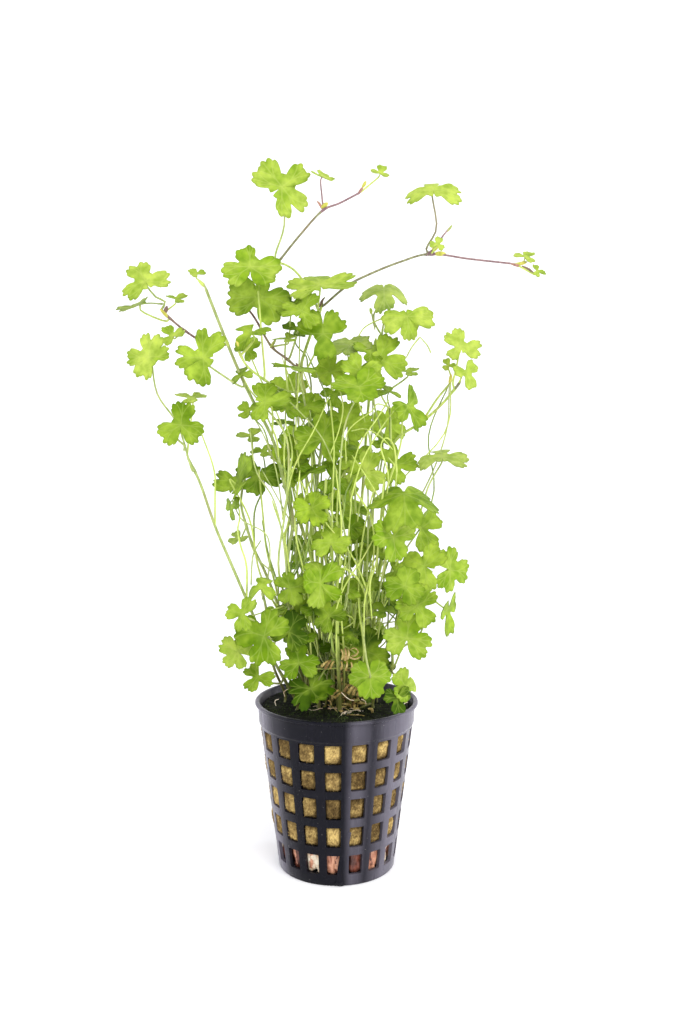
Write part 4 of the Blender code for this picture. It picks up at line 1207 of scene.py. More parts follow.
LEAVES_BY_STEM = {
    "runner_top": (
        (1, (282, 187, 4.5), 10.6, 0, 12, 45, 0.1, LIME, (277, 262), ((280, 225, 5.9),)),
    ),
    "stem_centre": (
        (2, (250, 267, -9), 9.4, 5, 25, -15, 0.1, LIME, (236, 296)),
        (3, (259, 297, -3), 10, 0, 15, 0, 0.12, FRESH, (264, 379), ((262, 340, -8),), 0, 0, 0.1, True),
        (4, (252, 333, -14), 6.4, -25, 50, 200, 0.1, FRESH, (241, 356), (), 0, 0, 0.5),
        (11, (320, 285, -6), 9.8, 0, 55, -10, 0.05, LIME, (318, 314)),
        (12, (302, 311, -9.5), 7.4, -5, 22, 30, 0.1, FRESH, (289, 360)),
        (13, (323, 334, -9), 8.8, 5, 18, 100, 0.08, FRESH, (301, 370)),
        (14, (299, 368, -12), 8.6, 0, 84, -90, 0.06, FRESH, (309, 415), ((302, 390, -8),)),
        (32, (290, 456, 0.5), 7.6, 25, 22, 0, 0.1, DEEP, (322, 600), ((297, 500, 0.1), (308, 550, 2.1))),
        (34, (322, 439, -6), 9.2, 5, 16, 20, 0.06, FRESH, (323, 620), ((312, 490, 0), (314, 550, 1))),
        (45, (312, 407, 10), 5.6, 10, 30, 40, 0.1, FRESH, (319, 540), ((306, 470, 7.8),)),
        (65, (348, 424, 0), 8.4, -5, 25, 10, 0.1, FRESH, (324, 630), ((338, 480, 2), (332, 560, 4)), 0, -2.5),
    ),
    "stem_left_tall": (
        (5, (145, 281, -3), 8.6, 0, 30, -40, 0.1, LIME, (165, 314), ((156, 297, 1),), 2),
        (6, (140, 305, 4.5), 8.2, -50, 70, -60, 0.05, PALE, (170, 318)),
        (7, (203, 358, -14), 9.8, 25, 15, -70, 0.1, FRESH, (245, 384)),
        (33, (265, 402, -15), 8.4, 0, 44, 90, 0.1, FRESH, (294, 625),
         ((280, 440, -15), (291, 500, -16), (282, 570, -16))),
        (36, (312, 508, -18), 7, 0, 14, 150, 0.1, DEEP, (293, 590), ((309, 548, -17),)),
        (41, (299, 663, -16.5), 8.8, 0, 18, -10, 0.08, FRESH, (300, 648)),
        (52, (289, 632, -18.5), 7, 10, 20, 30, 0.1, DEEP, (298, 640), (), 0, -2.5),
        (53, (290, 588, -18.5), 6.2, 10, 30, 80, 0.1, FRESH, (289, 610), (), 0, -2.5),
    ),
    "stem_left_low": (
        (8, (149, 357, -16), 8, -10, 12, -25, 0.12, LIME, (193, 470), ((157, 394, -14), (171, 425, -14))),
        (9, (181, 425, -23), 8.6, 5, 12, 5, 0.08, FRESH, (190, 462), (), 4, -2.5),
        (50, (238, 652, -22), 6.2, -10, 15, -60, 0.1, LIME, (264, 642)),
        (51, (258, 677, -22), 5.8, -5, 45, -150, 0.1, FRESH, (276, 680)),
        (54, (243, 614, -29), 5.8, -15, 35, -80, 0.1, FRESH, (256, 624), (), 0, 2.5),
    ),
    "runner_right": (
        (10, (433, 190, 0), 8.6, 5, 50, 0, -0.3, PALE, (431, 254), ((434, 228, 1),)),
    ),
    "stem_back": (
        (15, (384, 290, 2), 9.6, 0, 52, 180, -0.3, PALE, (376, 342), ((379, 318, 5),)),
        (16, (407, 317, -4), 7.8, 5, 40, 175, -0.15, LIME, (375, 346), ((388, 318, 0),)),
        (17, (379, 359, -3), 8.8, 5, 25, 115, 0.05, FRESH, (361, 590),
         ((374, 400, 3), (381, 450, 6), (374, 520, 8))),
        (18, (361, 371, -9.5), 7, -10, 22, -160, 0.1, DEEP, (371, 380), (), 0, -5),
        (46, (355, 457, 4), 6.8, 0, 25, -30, 0.1, FRESH, (361, 580), ((356, 510, 8),)),
        (47, (366, 540, -2), 6.2, 0, 30, 60, 0.1, FRESH, (361, 605)),
        (59, (388, 425, 22), 7.4, 15, 30, 40, 0.1, FRESH, (362, 545), ((384, 470, 20),)),
        (60, (421, 528, 14), 9, 15, 25, 60, 0.1, FRESH, (361, 620), ((396, 570, 14),)),
        (66, (407, 372, 9), 4.6, 15, 66, 60, 0.1, FRESH, (370, 400)),
        (68, (350, 346, 2), 8.2, 0, 66, -40, 0.1, PALE, (366, 425)),
        (69, (398, 610, 12.5), 8.6, 10, 25, 50, 0.1, DEEP, (363, 650)),
    ),
    "stem_front": (
        (19, (359, 387, -16.5), 8.8, 0, 56, 170, 0.1, LIME, (337, 610),
         ((351, 430, -14.9), (344, 500, -14.9), (345, 560, -14.9))),
        (42, (311, 689, -16), 8, 0, 42, 150, 0.1, DEEP, (338, 662)),
        (48, (347, 592, -10), 5.4, 0, 30, 20, 0.1, FRESH, (337, 624)),
        (49, (329, 616, -19), 6, 0, 20, -40, 0.1, DEEP, (338, 650)),
        (55, (331, 543, -19), 6.6, 0, 42, 0, 0.1, FRESH, (338, 575)),
    ),
    "stem_right": (
        (20, (461, 347, -2), 6.7, 5, 22, -15, 0.1, LIME, (455, 388), ((462, 368, -1),)),
        (21, (408, 406, -9), 8.6, 50, 16, 150, 0.05, FRESH, (376, 605),
         ((400, 445, -6), (389, 500, -8), (381, 560, -6)), 0, 0, 0.3),
        (22, (442, 457, -8), 8.8, 0, 58, 0, -0.2, PALE, (376, 605),
         ((434, 486, -6), (413, 514, -6), (397, 560, -5))),
        (23, (395, 465, -3), 7.2, 10, 20, 80, 0.1, DEEP, (373, 640), ((389, 500, -3.2), (383, 560, -3.2)), 4),
        (24, (404, 494, -19.5), 12.2, 0, 62, 180, -0.3, FRESH, (374, 625),
         ((398, 540, -13.7), (388, 590, -9.7)), 0, 0, -0.4),
        (25, (393, 537, -20), 8.4, 30, 14, 175, 0.05, LIME, (376, 606), ((387, 574, -18),), -2, 0, 0.2),
        (35, (366, 472, -9), 7.9, -15, 14, 0, 0.1, LIME, (372, 640), ((364, 520, -9), (361, 580, -8)), 0, -2.5,
         0.1),
        (37, (320, 583, -22), 9, 30, 16, -80, 0.08, LIME, (373, 625), ((350, 567, -16), (362, 592, -10)), -6,
         -2.5, 0.1),
        (38, (365, 651, -9.5), 8.8, 0, 22, 20, 0.08, DEEP, (370, 650)),
        (39, (370, 677, -25), 7.4, 0, 25, 175, 0.12, LIME, (376, 600), ((363, 655, -25), (368, 622, -16)), -6,
         0, 0, True),
    ),
    "stem_right_low": (
        (26, (424, 566, -12), 8.6, 5, 30, -60, 0.05, PALE, (411, 598)),
        (27, (450, 570, -6.5), 8.4, 30, 12, 100, 0.05, LIME, (412, 597), (), 6, 0, 0.1),
        (28, (405, 586, -20), 7.6, 5, 20, 20, 0.08, FRESH, (397, 632)),
        (29, (407, 638, -18), 8.4, 10, 18, 10, 0.1, LIME, (391, 664)),
        (40, (406, 687, -19), 7.4, 20, 24, -60, 0.06, LIME, (391, 672)),
        (63, (417, 606, -19.5), 7.6, 10, 20, 150, 0.08, FRESH, (392, 655), (), 2, 5),
    ),
    "stem_left_mid": (
        (30, (236, 484, -9), 10.4, -56, 24, 10, 0.08, PALE, (276, 605), ((243, 520, -10), (260, 570, -8)), 0, 0,
         0, True),
        (31, (259, 474, -3), 8, 5, 12, 200, 0.1, DEEP, (272, 592), ((260, 515, -6), (266, 550, -7)), 0, 0, 0,
         True),
    ),
    "stem_left_front": (
        (43, (264, 636, -26), 9.5, -5, 12, -75, 0.06, FRESH, (269, 645), (), 0, 2.5),
        (44, (261, 588, -24.5), 6.6, -10, 46, 0, -0.3, FRESH, (262, 594)),
    ),
    "stem_rear": (
        (56, (331, 372, 8), 7, 0, 30, -10, 0.1, FRESH, (333, 390)),
        (57, (300, 440, 24), 8.6, -20, 30, -60, 0.1, DEEP, (314, 560), ((303, 490, 24),)),
        (58, (342, 500, 26), 9, 20, 35, 30, 0.1, FRESH, (314, 590)),
        (61, (303, 549, 18), 6.4, -25, 40, -60, 0.1, DEEP, (315, 605)),
        (62, (347, 615, 25), 9, 5, 40, 20, 0.1, DEEP, (322, 650)),
        (64, (288, 392, 14), 8, -15, 25, -70, 0.1, FRESH, (323, 450)),
        (67, (296, 603, 12), 8.4, -15, 30, -40, 0.1, DEEP, (322, 650), (), 2),
    ),
}
LEAVES = sorted(
    (LeafRow(stem, *row) for stem, rows in LEAVES_BY_STEM.items() for row in rows), key=lambda row: row.number)
YOUNG_LEAVES = [YoungRow(*row) for row in (
    ("stem_left_tall", (204, 284, -3), (197, 274, -3), 3.4, 20, 50, -30),
    ("stem_left_tall", (164, 313, 1), (176, 299, 1), 4.2, 20, 62, 60),
    ("stem_left_tall", (184, 330, 1), (173, 336, -4), 4.8, -10, 35, -40),
    ("stem_left_low", (187, 456, -15), (193, 398, -16), 6.0, 10, 78, -60),
    ("stem_centre", (271, 346, -2), (288, 339, -5), 5.0, 0, 72, -90),
    ("stem_right", (458, 385, -3), (466, 372, -8), 6.2, 35, 25, 165),
    ("stem_right", (451, 376, 3), (449, 366, 3), 3.0, 0, 40, -20),
    ("stem_right_low", (418, 588, -7), (448, 609, -9), 8.8, 64, -10, 176, GREEN, DEEP),
    ("stem_left_mid", (253, 454, 3), (252, 436, 3), 5.4, 0, 62, -90),
    ("stem_left_mid", (246, 525, -1), (239, 538, -5), 4.0, -10, 60, -140, GREY, PALE),
    ("runner_right", (515, 264, -2), (525, 257, -2), 4.4, 20, 58, 50),
    ("runner_right", (515, 264, -2), (537, 271, -4), 3.2, 30, 40, 110),
    ("runner_right", (430, 254, 0), (437, 245, -4), 3.0, 10, 20, 20),
    ("runner_top", (322, 211, 3), (322, 177, 2), 4.8, 40, 62, 40, "runner_purple"),
    ("runner_top", (361, 192, 3), (380, 173, 3), 3.8, 20, 45, 30),
)]


@dataclass(frozen=True)
class Lobe:
    """One lobe of a blade of size one: its turn and half width in degrees, its reach and teeth, how deep its end
    is split, and how far it is bent up from its foot to its end, in radians."""

    turn: float
    half: float
    far: float = 1.0
    teeth: int = 5
    split: float = 0.1
    lift: float = 0.0


@dataclass(frozen=True)
class BladeForm:
    """A lobed blade of size one, drawn with this many spokes and rings."""

    lobes: tuple[Lobe, ...]
    web: float = 0.36
    sinus: float = 0.0
    spokes: int = 156
    rings: int = 7
    notch: float = 0.1
    tooth: float = 0.1
    widen: float = 8.0
    fine: int = 1440

    def reach(self, rng: Random) -> np.ndarray:
        """The blade's reach at even steps all round from -180 degrees, with its own small differences.

        Args:
            rng: The source of the differences.

        Returns:
            One radius for each step.
        """
        turns = np.linspace(-180.0, 180.0, self.fine, endpoint=False)
        found = np.full(self.fine, self.notch)
        for lobe in self.lobes:
            away = (turns - lobe.turn - rng.uniform(-3, 3) + 180.0) % 360.0 - 180.0
            part = np.abs(away) / ((lobe.half + self.widen) * rng.uniform(0.94, 1.04))
            wedge = np.sqrt(np.clip(1.0 - part ** 5, 0.0, 1.0))
            swing = lobe.teeth * away / lobe.half / 2 + rng.uniform(-0.2, 0.2)
            scallop = np.abs(np.cos(math.pi * swing)) ** 0.75
            rim = 1.0 - self.tooth * (1.0 - scallop) - 0.1 * part ** 2
            rim -= lobe.split * np.exp(-(((away - rng.uniform(-4, 4)) / 5.5) ** 2))
            rim *= lobe.far * rng.uniform(0.96, 1.03)
            found = np.maximum(found, self.notch + (rim - self.notch) * wedge)
        back = np.clip((180.0 - self.sinus - np.abs(turns)) / 8.0, 0.0, 1.0)
        return np.maximum(found, self.notch + (self.web * rng.uniform(0.85, 1.15) - self.notch) * back)

    def outline(self, reach: np.ndarray) -> np.ndarray:
        """Points at even steps along the outline.

        Args:
            reach: The blade's reach all round.

        Returns:
            One point for each spoke.
        """
        turns = np.radians(np.linspace(-180.0, 180.0, self.fine, endpoint=False))
        points = np.stack([np.sin(turns) * reach, np.cos(turns) * reach], axis=1)
        ring = np.vstack([points, points[:1]])
        gone = np.concatenate([[0.0], np.cumsum(np.linalg.norm(np.diff(ring, axis=0), axis=1))])
        wanted = np.linspace(0.0, gone[-1], self.spokes, endpoint=False)
        return np.stack([np.interp(wanted, gone, ring[:, axis]) for axis in (0, 1)], axis=1)


def lobed(*lobes: tuple, web: float = 0.36, sinus: float = 0.0, spokes: int = 156, rings: int = 7) -> BladeForm:
    """A form whose lobes are given as rows of a lobe's values."""
    return BladeForm(tuple(Lobe(*row) for row in lobes), web, sinus, spokes, rings)


TRIFID = lobed((-106, 40, 0.98, 6, 0.22), (0, 36, 1.0, 5, 0.1), (106, 40, 0.98, 6, 0.22), web=0.3, sinus=40)
BROAD = lobed((-112, 47, 0.97, 6, 0.2), (0, 45, 1.0, 6, 0.12), (112, 47, 0.97, 6, 0.2), web=0.46, sinus=32)
FIVE = lobed((-140, 24, 0.88, 4, 0.04), (-82, 26, 0.96, 4, 0.04), (-4, 38, 1.0, 5, 0.12), (76, 28, 0.98, 4, 0.04),
             (134, 26, 0.9, 4, 0.04), web=0.5, sinus=22)
ROUND = lobed((-118, 54, 0.97, 6, 0.12), (0, 52, 1.0, 6, 0.08), (118, 54, 0.97, 6, 0.12), web=0.62, sinus=10)
FOLDED = lobed((-104, 36, 0.98, 5, 0.15, -0.5), (0, 32, 1.0, 5, 0.1, -0.3), (104, 36, 0.98, 5, 0.15, -0.7),
               web=0.35, sinus=40)
PLAIN_FORMS = tuple(BladeForm(form.lobes, form.web, form.sinus, 96, 5) for form in (TRIFID, BROAD, FIVE))
YOUNG_BLADE = lobed((-104, 36, 0.85, 4, 0.12), (0, 34, 1.0, 4, 0.1), (104, 36, 0.85, 4, 0.12), web=0.3, sinus=40,
                    spokes=72, rings=4)
BIT_BLADE = lobed((-104, 38, 0.95, 4, 0.15), (0, 36, 1.0, 4, 0.1), (104, 38, 0.9, 4, 0.15), web=0.35, sinus=40,
                  spokes=60, rings=3)


@dataclass(frozen=True)
class LeafLook:
    """How one leaf differs: its tone from young 0 to grown 1, which for some low leaves also holds painted shade, its
    form, its own spin where that has changed, its size against the part's, its stalk's finish where that isn't left
    to chance, and its own shade."""

    tone: float
    form: BladeForm = TRIFID
    spin: float | None = None
    grow: float = 1.0
    stalk: str = ""
    shade: LeafShade | None = None


LOOKS = {number: LeafLook(*row) for number, row in {
    1: (0.45, lobed((-100, 40, 1.0, 6, 0.1), (0, 28, 0.98, 4, 0.1), (98, 44, 1.0, 6, 0.42)), 52, 0.97, GREY),
    2: (0.75, lobed((-118, 44, 0.98, 5, 0.1), (-20, 38, 0.76, 4, 0.1, 0.3), (116, 54, 1.08, 6, 0.16)), 0),
    3: (0.45, lobed((-122, 58, 1.02, 6, 0.08), (-16, 30, 0.56, 3), (84, 58, 1.04, 7, 0.1)), 0, 1.05),
    4: (0.4, FOLDED, None, 1.15),
    5: (0.2, lobed((-108, 32, 0.95, 5, 0.14), (0, 42, 0.95, 6, 0.22), (108, 34, 1.0, 5, 0.2)), -28),
    6: (0.25, TRIFID),
    7: (0.35, lobed((-70, 36, 1.0, 5, 0.12), (0, 30, 0.92, 5, 0.3), (112, 42, 1.0, 6, 0.3)), -88),
    8: (0.4, lobed((-158, 34, 0.9, 5, 0.2), (-92, 26, 0.95, 4), (10, 38, 1.0, 6, 0.3), (82, 26, 0.9, 4)), 0),
    9: (0.55, lobed((-128, 42, 0.98, 6, 0.14), (0, 42, 1.0, 6, 0.1), (118, 44, 1.0, 6, 0.14)), 6, 0.88),
    10: (0.0, lobed((-96, 40, 1.05, 6, 0.2, 0.3), (0, 26, 0.8, 4, 0.1), (96, 40, 1.05, 6, 0.2, 0.3)), None, 1.1,
         "runner_brown", LIME),
    11: (0.4, lobed((-96, 42, 1.0, 7, 0.3), (0, 34, 1.0, 6, 0.2), (96, 42, 1.16, 7, 0.3)), -10, 1.06),
    12: (0.35, lobed((-110, 30, 1.0, 5, 0.3), (0, 26, 1.0, 4), (112, 26, 1.05, 4)), 30),
    13: (0.8, lobed((-50, 40, 1.0, 6, 0.12), (44, 38, 1.0, 6, 0.14), (176, 36, 0.95, 5, 0.1)), 0),
    14: (0.5, TRIFID),
    15: (0.4, lobed((-108, 44, 1.0, 6, 0.2, -0.2), (0, 34, 0.9, 6, 0.1, -0.5), (108, 44, 1.0, 6, 0.2))),
    16: (0.3, lobed((-84, 44, 1.05, 5, 0.14), (0, 30, 0.95, 4, 0.0, -0.7), (86, 46, 1.0, 5, 0.14)), None, 1.12),
    17: (0.1, lobed((-85, 30, 1.05, 5), (0, 36, 1.08, 5, 0.1), (98, 34, 1.0, 5, 0.2))),
    18: (0.3, BROAD, None, 1.0, "", FRESH),
    19: (0.9, ROUND),
    20: (0.0, lobed((-135, 26, 0.9, 4), (-28, 48, 1.0, 7, 0.2), (104, 42, 1.0, 6, 0.24)), 0),
    21: (0.7, FOLDED),
    22: (0.0, lobed((-100, 26, 0.95, 4, 0.0), (0, 34, 0.9, 5), (104, 38, 1.0, 6, 0.16)), 0, 1.0, GREY),
    23: (0.3, TRIFID, None, 1.0, "", FRESH),
    24: (0.55, BROAD),
    25: (0.7, BROAD),
    26: (0.1, lobed((-112, 44, 1.0, 6, 0.2, 0.5), (0, 42, 1.0, 6, 0.12, -0.4), (110, 44, 0.97, 6, 0.2, 0.6)),
         None, 1.0, "", FRESH),
    27: (0.75, BROAD, None, 0.92),
    28: (0.75, ROUND, None, 0.9),
    29: (0.75, BROAD),
    30: (0.35, lobed((-104, 30, 0.98, 5, 0.15, -0.5), (0, 34, 1.05, 6, 0.1, -0.3),
         (104, 30, 0.9, 5, 0.15, -0.9)), None, 1.0, "", DEEP),
    31: (0.8, lobed((-100, 40, 1.0, 6, 0.2), (0, 40, 1.0, 6, 0.12), (104, 44, 1.02, 6, 0.2)), None, 0.95, "",
         FRESH),
    32: (0.0, FIVE),
    33: (0.35, lobed((-96, 40, 1.05, 5), (0, 38, 1.0, 5), (104, 26, 0.95, 4)), 90),
    34: (0.65, BROAD),
    35: (0.35, BROAD, 20, 0.92),
    36: (0.1, FIVE, None, 0.92),
    37: (0.85, lobed((-140, 26, 0.88, 5, 0.04, 0.8), (-82, 28, 0.96, 5, 0.04, -0.7),
         (-4, 38, 1.0, 6, 0.12, 0.5), (76, 30, 0.98, 5, 0.04, -0.8), (134, 28, 0.9, 5, 0.04, 0.7), web=0.5,
         sinus=22)),
    38: (0.6, BROAD),
    39: (1.0, lobed((-118, 54, 0.97, 6, 0.12, 0.5), (0, 52, 1.0, 6, 0.08, -0.3), (118, 54, 0.97, 6, 0.12, 0.7),
         web=0.62, sinus=10)),
    40: (0.6, lobed((-100, 44, 0.9, 5, 0.1, 0.9), (0, 42, 1.0, 6, 0.12, 0.5), (104, 42, 0.9, 5, 0.12, -0.8)),
         -30, 0.86, "", LIME),
    41: (1.0, BROAD, None, 0.78),
    # Leaf 42's darkest tone is partly painted shade: it stands low in the tuft's shade.
    42: (1.0, lobed((-130, 28, 0.9, 5, 0.25, 0.4), (-66, 28, 1.0, 5, 0.25, -0.3), (-4, 30, 1.0, 5, 0.3, 0.5),
         (62, 28, 1.0, 5, 0.25, -0.3), (126, 28, 0.92, 5, 0.25, 0.4), web=0.35, sinus=30)),
    43: (0.8, BROAD),
    44: (0.2, FOLDED),
}.items()}


@dataclass
class BladeMaker:
    """Makes leaf blades from a spun disc whose points are drawn out to the lobed outline."""

    thickness: float = 0.2
    bowl: float = 0.05
    wave: float = 0.03
    twist: float = 0.17
    least_bend: float = 1e-3
    widest: float = 1.2
    crowding: float = 0.92
    discs: dict[tuple[int, int], bpy.types.Mesh] = field(default_factory=dict)

    def disc(self, form: BladeForm) -> bpy.types.Mesh:
        """The flat disc of a form's spokes and rings, made once.

        Args:
            form: The form.

        Returns:
            The disc, of radius one.
        """
        key = (form.spokes, form.rings)
        if key not in self.discs:
            shape = spun([(step / form.rings, 0.0) for step in range(form.rings + 1)], form.spokes, up=-1.0)
            if sum(face.normal.z for face in shape.faces) < 0:
                bmesh.ops.reverse_faces(shape, faces=shape.faces[:])
            self.discs[key] = bpy.data.meshes.new("disc")
            shape.to_mesh(self.discs[key])
            shape.free()
        return self.discs[key]

    def blade(self, form: BladeForm, size: float, cup: float, fold: float, tone: float, rng: Random) -> Shape:
        """A blade about its own middle, with the middle lobe along +Y and its upper side along +Z.

        Args:
            form: Its form.
            size: The reach of its middle lobe.
            cup: How far its margin rises, in sizes.
            fold: How far its sides rise, for each millimetre out from the middle line.
            tone: Its tone, from young 0 to grown 1, which for low leaves also holds painted shade.
            rng: The source of its small differences.

        Returns:
            The blade, with its maps filled in.
        """
        outline = form.outline(form.reach(rng))
        shape = bmesh.new()
        shape.from_mesh(self.disc(form))
        flats = shape.verts.layers.float_vector.new("flat")
        phase = rng.uniform(0, math.tau)
        bends = [2 * cup + lobe.lift + rng.uniform(-0.6, 0.25) for lobe in form.lobes]
        twists = [rng.uniform(-self.twist, self.twist) for _ in form.lobes]
        for vert in shape.verts:
            part = min(vert.co.xy.length, 1.0)
            turn = math.atan2(vert.co.x, vert.co.y)
            spoke = round((turn + math.pi) / math.tau * form.spokes) % form.spokes
            flat = Vector(outline[spoke]) * part ** self.crowding
            vert[flats] = (flat.x, flat.y, part)
            away = flat.length
            angle = math.degrees(math.atan2(flat.x, flat.y))
            crosses = [((angle - lobe.turn + 180) % 360 - 180) / lobe.half for lobe in form.lobes]
            near = min(range(len(crosses)), key=lambda lobe: abs(crosses[lobe]))
            bend = bends[near] if abs(bends[near]) > self.least_bend else self.least_bend
            cross = max(-self.widest, min(self.widest, crosses[near]))
            rise = (1 - math.cos(bend * away)) / bend
            rise += self.bowl * away * cross ** 2 + twists[near] * cross * away ** 2
            rise += self.wave * away ** 2 * math.sin(3 * math.radians(angle) + phase)
            rise += self.wave * part ** 3 * noise.noise(Vector((flat.x * 3.5, flat.y * 3.5, phase)))
            flat *= math.sin(bend * away) / (bend * away) if away > 1e-4 else 1.0
            vert.co = Vector((flat.x * size, flat.y * size, rise * size + fold * abs(flat.x) * size))
        bmesh.ops.recalc_face_normals(shape, faces=shape.faces[:])
        if sum(face.normal.z * face.calc_area() for face in shape.faces) < 0:
            bmesh.ops.reverse_faces(shape, faces=shape.faces[:])
        bmesh.ops.solidify(shape, geom=shape.faces[:], thickness=self.thickness)
        self.fill_maps(shape, tone)
        return shape

    def fill_maps(self, shape: Shape, tone: float) -> None:
        """Writes the blade map, in sizes from the middle, and the rim map, from the middle 0 to the margin 1.

        Args:
            shape: The blade.
            tone: Its tone, which goes into the rim map's second value.
        """
        flats = shape.verts.layers.float_vector["flat"]
        blade = shape.loops.layers.uv.new("blade")
        rim = shape.loops.layers.uv.new("rim")
        for face in shape.faces:
            for loop in face.loops:
                across, ahead, part = loop.vert[flats]
                loop[blade].uv = (across, ahead)
                loop[rim].uv = (part, tone)
        shape.verts.layers.float_vector.remove(flats)


def blade_axes(yaw: float, pitch: float, spin: float, underside: bool = False) -> tuple[Vector, Vector, Vector]:
    """Right, middle lobe and upper side directions of a blade, whose visible side has this yaw and pitch.

    Args:
        yaw: Turn of the visible side to the right, in degrees.
        pitch: Its tilt upwards, in degrees.
        spin: Turn of the middle lobe, in degrees.
        underside: Whether the visible side is the lower one.

    Returns:
        The three unit directions.
    """
    yaw, pitch, spin = (math.radians(value) for value in (yaw, pitch, spin))
    out = Vector((math.sin(yaw) * math.cos(pitch), -math.cos(yaw) * math.cos(pitch), math.sin(pitch)))
    up = Vector((-math.sin(yaw) * math.sin(pitch), math.cos(yaw) * math.sin(pitch), math.cos(pitch)))
    right = up.cross(out)
    middle = math.cos(spin) * up + math.sin(spin) * right
    if underside:
        out = -out
    return middle.cross(out), middle, out


@dataclass
class Plant:
    """The stems, runners, side branches and leaves, each leaf on its own stalk."""

    finishes: Finishes
    blades: BladeMaker = field(default_factory=BladeMaker)
    wool_top: float = 51.8
    gap: float = 0.3
    stem_lift: float = 4.0
    neck: float = 2.2
    young_neck: float = 1.5
    foot_length: float = 2.2
    foot_lean: float = 0.8
    slim: float = 0.8
    joint_reach: float = 3.0
    joint_swell: float = 0.14
    joint_width: float = 1.1
    blade_rise: float = 0.15
    stray: float = 2.3
    stalk_radii: Pair = (0.26, 0.38)
    young_radii: Pair = (0.22, 0.32)
    stalk_step: float = 1.6
    neck_swell: float = 1.35
    # Where on the drawing the painted shade of low leaves starts, and over how far down it deepens.
    painted_shade_from: float = 440.0
    painted_shade_over: float = 210.0
    lines: dict[str, list[Vector]] = field(default_factory=dict)
    radii: dict[str, float] = field(default_factory=dict)
    pieces: dict[str, Piece] = field(default_factory=dict)
    bars: list[tuple[str, list[Vector], Pair, str, float]] = field(default_factory=list)
    joints: list[Vector] = field(default_factory=list)

    def lay_lines(self) -> None:
        """Lays the middle lines of the stems, the runners and the branches."""
        for row in STEMS:
            foot = Vector((*row.root, self.wool_top + self.gap))
            points = [foot, foot + Vector((0.0, 0.0, self.stem_lift))] + DRAWING.points(row.places)
            outer = row.name.startswith("stem_left")
            self.lay(row.name, points, row.radii, "stem_outer" if outer else "stem_green", 100.0)
        for row in TWIGS:
            points = DRAWING.points(row.places)
            points[0] = nearest(self.lines[row.stem], points[0])
            if row.name:
                self.lay(row.name, points, row.radii, row.finish, row.purple_past)
                continue
            self.bars.append((row.stem, points, row.radii, row.finish, row.purple_past))
            self.lines[row.stem] += finer(curve(points, len(points)))
            self.joints.append(points[0])

    def lay(self, name: str, points: list[Vector], radii: Pair, finish: str, purple_past: float) -> None:
        """Lays the line of one stem or runner and starts its piece.

        Args:
            name: Its name.
            points: The points that it passes.
            radii: Its radius at its foot and at its end.
            finish: Its finish.
            purple_past: How far to the right it turns purple, in millimetres.
        """
        self.lines[name] = finer(curve(points, len(points)))
        self.radii[name] = sum(radii) / 2
        self.bars.append((name, points, radii, finish, purple_past))
        self.pieces[name] = Piece(f"{name}_grown", self.finishes)

    def foot(self, stem: str, place: Pair, slide: float, toward: Vector) -> tuple[Vector, Vector]:
        """Where a stalk starts: a point inside the stem and one further outward.

        Args:
            stem: The stem that it grows on.
            place: The joint's place on the drawing.
            slide: How far it is slid along the stem.
            toward: Where the stalk goes.

        Returns:
            The two points.
        """
        line = self.lines[stem]
        index = min(range(len(line)), key=lambda step: (DRAWING.seen(line[step]) - Vector(place)).length)
        along = direction(line, index)
        inside = line[index] + slide * along
        away = toward - inside
        away = (away - away.dot(along) * along).normalized()
        return inside, inside + (self.radii[stem] + self.foot_length) * away + self.foot_lean * along

    def grow_bars(self) -> None:
        """Sweeps the stems, runners and branches, thicker at each joint."""
        for name, points, ends, finish, purple_past in self.bars:
            line = curve(points, 7 * len(points))
            radii = [self.slim * radius for radius in taper(*ends, len(line))]
            for joint in self.joints:
                for index, point in enumerate(line):
                    near = (point - joint).length
                    if near < self.joint_reach:
                        radii[index] += self.joint_swell * math.exp(-((near / self.joint_width) ** 2))
            bar = swept(line, rounded_ends(radii), 9)
            near_finish, far_finish = self.pieces[name].slot(finish), self.pieces[name].slot("runner_purple")
            for face in bar.faces:
                past = face.calc_center_median().x > purple_past
                face.material_index = far_finish if past else near_finish
            self.pieces[name].add(bar)

    def stalk(self, points: list[Vector], thin: float, thick: float) -> Shape:
        """A leaf's stalk from below the blade to its stem.

        Args:
            points: The points that it passes.
            thin: Its radius at the blade.
            thick: Its radius at the stem.

        Returns:
            The stalk.
        """
        length = sum((after - before).length for before, after in zip(points, points[1:]))
        line = curve(points, max(8, min(40, round(length / self.stalk_step))))
        radii = taper(thin, thick, len(line))
        radii[0] *= self.neck_swell
        return swept(line, radii, 6)

    def grow_leaf(self, row: LeafRow, piece: Piece, look: LeafLook) -> None:
        """Adds one leaf and its stalk to a piece.

        Args:
            row: The leaf.
            piece: The piece.
            look: How the leaf differs.
        """
        rng = Random(1000 + row.number)
        axes = blade_axes(row.yaw, row.pitch, row.spin if look.spin is None else look.spin, row.underside)
        centre = DRAWING.point(*row.spot)
        via = DRAWING.points(row.via)
        inside, outward = self.foot(row.stem, row.joint, row.slide, via[-1] if via else centre)
        below = centre - self.neck * axes[2]
        passed = [point + Vector((rng.uniform(-self.stray, self.stray), row.bow, 0.0)) for point in via]
        if not via and row.bow:
            passed = [(below + outward) / 2 + Vector((row.bow, 0.0, 0.0))]
        shape = self.blades.blade(look.form, look.grow * row.size, row.cup, row.fold, look.tone, rng)
        self.place_blade(shape, piece, look.shade or row.shade, centre, axes)
        finish = rng.choice((SHADED, GREEN) if row.shade is DEEP else (GREEN, GREY))
        line = [centre - 0.1 * axes[2], below] + passed + [outward, inside]
        piece.add(self.stalk(line, *self.stalk_radii), look.stalk or finish)
        self.joints.append(inside)

